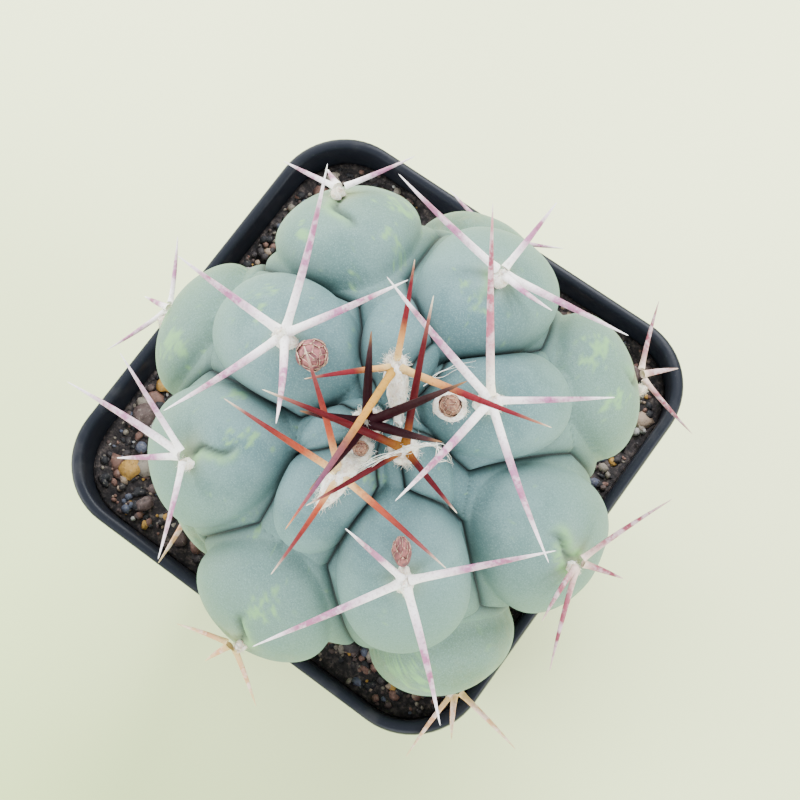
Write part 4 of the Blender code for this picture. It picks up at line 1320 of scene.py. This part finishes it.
def build_soil(finish, lowest):
    """Rings from the pot's wall to the middle, closed down the wall and across the bottom."""
    level_half = collar_inner - 0.55 * MM
    share = np.linspace(1.0, 0.0, SOIL_RINGS + 1)[:-1]
    outline = rounded_square(level_half, pot_corner(SOIL_LEVEL) - WALL)
    flat = outline[None] * share[:, None, None]
    x, y = flat[..., 0], flat[..., 1]
    height = np.minimum(soil_height(x, y), lowest[bin_of(x, y)] - STEM_GAP)
    top = np.stack([x, y, height], axis=-1)
    wall = []
    for z in (FLOOR + WALL_GAP, collar_bottom - 1.4 * MM, collar_bottom + 1.0 * MM):
        half = (body_half(z) if z < collar_bottom else collar_inner - 0.2 * MM) - WALL - WALL_GAP
        half = min(half, level_half)
        ring = rounded_square(half, pot_corner(z) - WALL - WALL_GAP)
        wall.append(np.column_stack([ring, np.full(len(ring), z)]))
    rings = np.concatenate([np.array(wall), top])
    rows, columns = rings.shape[:2]
    middle = float(min(soil_height(np.zeros(1), np.zeros(1))[0], lowest.min() - STEM_GAP))
    points = np.concatenate([rings.reshape(-1, 3), [(0.0, 0.0, middle), (0.0, 0.0, FLOOR + WALL_GAP)]])
    ring = np.arange(columns)
    faces = [grid_faces(rows, columns)[:, ::-1], fan_faces(ring + (rows - 1) * columns, rows * columns, True),
             fan_faces(ring, rows * columns + 1, False)]
    add_piece("soil_surface", points, faces, finish, "potting_soil", ["potting_soil"])


def make_soil_finish():
    """Nearly black crumbs with lighter tops, darker still where it is damp."""
    finish = Finish("potting_soil", Specular_IOR_Level=0.25)
    crumbs = finish.noise(900.0, 4.0, 0.7)
    damp = finish.noise(90.0, 2.0).band(0.4, 0.65)
    colour = finish.ramp(crumbs, [(0.30, (0.010, 0.010, 0.012)), (0.50, (0.034, 0.028, 0.029)),
                                  (0.62, (0.095, 0.075, 0.070)), (0.78, (0.24, 0.20, 0.18))])
    finish.feed(Base_Color=finish.mix(damp * 0.4, colour, (0.009, 0.008, 0.009)),
                Roughness=0.75 + damp * 0.15, Normal=finish.bump(crumbs, 0.0006, 0.9))
    return finish


lowest_stem = underside_map(stem_points)
build_soil(make_soil_finish(), lowest_stem)

# %% [markdown]
# Loose grit covers the soil: rusty, tan, ochre, blue-grey and nearly black grains up to four
# millimetres across. A grain is an octahedron divided into small triangles, pushed out to a sphere,
# squashed, and dented by noise of its own. The larger ones stand where the frame has its stones and
# have 512 triangles each. The thousands that are strewn have only 32, and a seeded random choice
# keeps them off the stem and the wall.

# %% Shapes of the grains
COARSE_LEVELS, FINE_LEVELS = 3, 1


def split_octahedron(levels):
    """Points and triangles of a sphere: an octahedron's triangles cut into four, level by level."""
    points = np.array([(1, 0, 0), (-1, 0, 0), (0, 1, 0), (0, -1, 0), (0, 0, 1), (0, 0, -1)], float)
    faces = np.array([(4, 0, 2), (4, 2, 1), (4, 1, 3), (4, 3, 0), (5, 2, 0), (5, 1, 2), (5, 3, 1), (5, 0, 3)])
    for _ in range(levels):
        edges = np.sort(np.concatenate([faces[:, [0, 1]], faces[:, [1, 2]], faces[:, [2, 0]]]), axis=1)
        unique, index = np.unique(edges, axis=0, return_inverse=True)
        middles = points[unique].mean(axis=1)
        ab, bc, ca = index.reshape(3, -1) + len(points)
        points = np.concatenate([points, middles])
        a, b, c = faces.T
        quarters = ((a, ab, ca), (ab, b, bc), (ca, bc, c), (ab, bc, ca))
        faces = np.concatenate([np.stack(quarter, axis=1) for quarter in quarters])
    return unit(points), faces


def grain_field(centres, radii, levels, flatness, rng):
    """All grains at once: the sphere's points times size, squash and dents, turned at random."""
    sphere, faces = split_octahedron(levels)
    count = len(centres)
    squash = rng.uniform(0.7, 1.15, (count, 1, 3)) * np.array([1.0, 1.0, flatness])
    offset = rng.uniform(0, 50, (count, 1, 3))
    spot = sphere[None] + offset
    dents = 0.30 * smooth_noise(spot, 0.9, 61) + 0.13 * smooth_noise(spot, 0.4, 62)
    facets = np.round((1 + dents) * 7) / 7 * 0.5 + (1 + dents) * 0.5
    shape = sphere[None] * facets[..., None] * squash
    spin = rng.uniform(0, math.tau, count)
    c, s = np.cos(spin)[:, None], np.sin(spin)[:, None]
    turned = np.stack([shape[..., 0] * c - shape[..., 1] * s, shape[..., 0] * s + shape[..., 1] * c,
                       shape[..., 2]], axis=-1)
    points = turned * radii[:, None, None] + centres[:, None, :]
    numbers = faces[None] + (np.arange(count) * len(sphere))[:, None, None]
    return points.reshape(-1, 3), numbers.reshape(-1, 3), len(sphere)


# %% [markdown]
# The finish picks a colour for each grain from a random tone that all its points share, then breaks
# it up with specks. Dry mineral grains are rough, but a few have a dull shine.

# %% Strew the grit
def make_grit_finish():
    """One flat colour for each grain by its tone, with light and dark specks."""
    finish = Finish("grit", Specular_IOR_Level=0.4)
    tone = finish.attribute("tone")
    stops = [(0.00, (0.014, 0.014, 0.018)), (0.24, (0.036, 0.030, 0.032)), (0.40, (0.090, 0.060, 0.055)),
             (0.54, (0.17, 0.090, 0.070)), (0.64, (0.080, 0.090, 0.13)), (0.74, (0.21, 0.18, 0.145)),
             (0.84, (0.30, 0.22, 0.16)), (0.92, (0.38, 0.21, 0.045)), (0.96, (0.40, 0.39, 0.37))]
    colour = finish.ramp(tone, stops, "CONSTANT")
    specks = finish.noise(1900.0, 3.0, 0.7)
    light = finish.mix(specks.band(0.55, 0.75) * 0.45, colour, (0.45, 0.40, 0.34))
    dark = finish.mix((1 - specks.band(0.30, 0.48)) * 0.6, light, (0.012, 0.010, 0.010))
    finish.feed(Base_Color=dark, Roughness=0.55 + specks * 0.35,
                Normal=finish.bump(specks, 0.00025, 0.8))
    return finish


STREWN_STONES = (170, 0.8 * MM, 2.1 * MM, 0.1 * MM)
STREWN_GRAINS = (3400, 0.28 * MM, 1.0 * MM, 0.0)


def strew(count, smallest, largest, wall_gap, lowest, rng):
    """Random spots on the soil, away from the wall and clear of the stem above."""
    half = collar_inner - 0.9 * MM
    x, y = rng.uniform(-half, half, (2, count * 5))
    radius = smallest + (largest - smallest) * rng.random(count * 5) ** 2.2
    corner = RIM_CORNER - WALL
    over = np.hypot(np.maximum(np.abs(x) - (half - corner), 0), np.maximum(np.abs(y) - (half - corner), 0))
    inside = over < corner - radius - wall_gap
    clear = lowest[bin_of(x, y)] > SOIL_LEVEL + 2.2 * radius + 1.5 * MM
    keep = np.flatnonzero(inside & clear)[:count]
    return x[keep], y[keep], radius[keep]


def build_grit(finish, lowest):
    """Stones at the frame's stones with strewn ones among them, then thousands of fine grains."""
    rng = np.random.default_rng(23)
    stones = sorted(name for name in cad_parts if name.startswith("grit_stone"))
    boxes = np.array([[list(corner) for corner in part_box(name)] for name in stones])
    middle, half = boxes.mean(axis=1), (boxes[:, 1] - boxes[:, 0]) / 2
    radii = half.max(axis=1)
    middle[:, 2] = boxes[:, 0, 2] + radii * 0.45
    coarse, coarse_faces, coarse_size = grain_field(middle, radii, COARSE_LEVELS, 0.75, rng)
    x, y, radius = strew(*STREWN_STONES, lowest, rng)
    centres = np.stack([x, y, soil_height(x, y) + radius * 0.25], axis=-1)
    strewn, strewn_faces, strewn_size = grain_field(centres, radius, FINE_LEVELS, 0.8, rng)
    tones = [np.repeat(rng.uniform(0.35, 1.0, len(stones)), coarse_size),
             np.repeat(rng.random(len(x)) ** 0.8, strewn_size)]
    add_piece("grit_stones", np.concatenate([coarse, strewn]), [coarse_faces, strewn_faces + len(coarse)],
              finish, "grit_stone", stones, tone=np.concatenate(tones))
    x, y, radius = strew(*STREWN_GRAINS, lowest, rng)
    centres = np.stack([x, y, soil_height(x, y) + radius * 0.3], axis=-1)
    points, faces, size = grain_field(centres, radius, FINE_LEVELS, 0.8, rng)
    add_piece("grit_grains", points, [faces], finish, "grit_stone", tone=np.repeat(rng.random(len(x)), size))


build_grit(make_grit_finish(), lowest_stem)
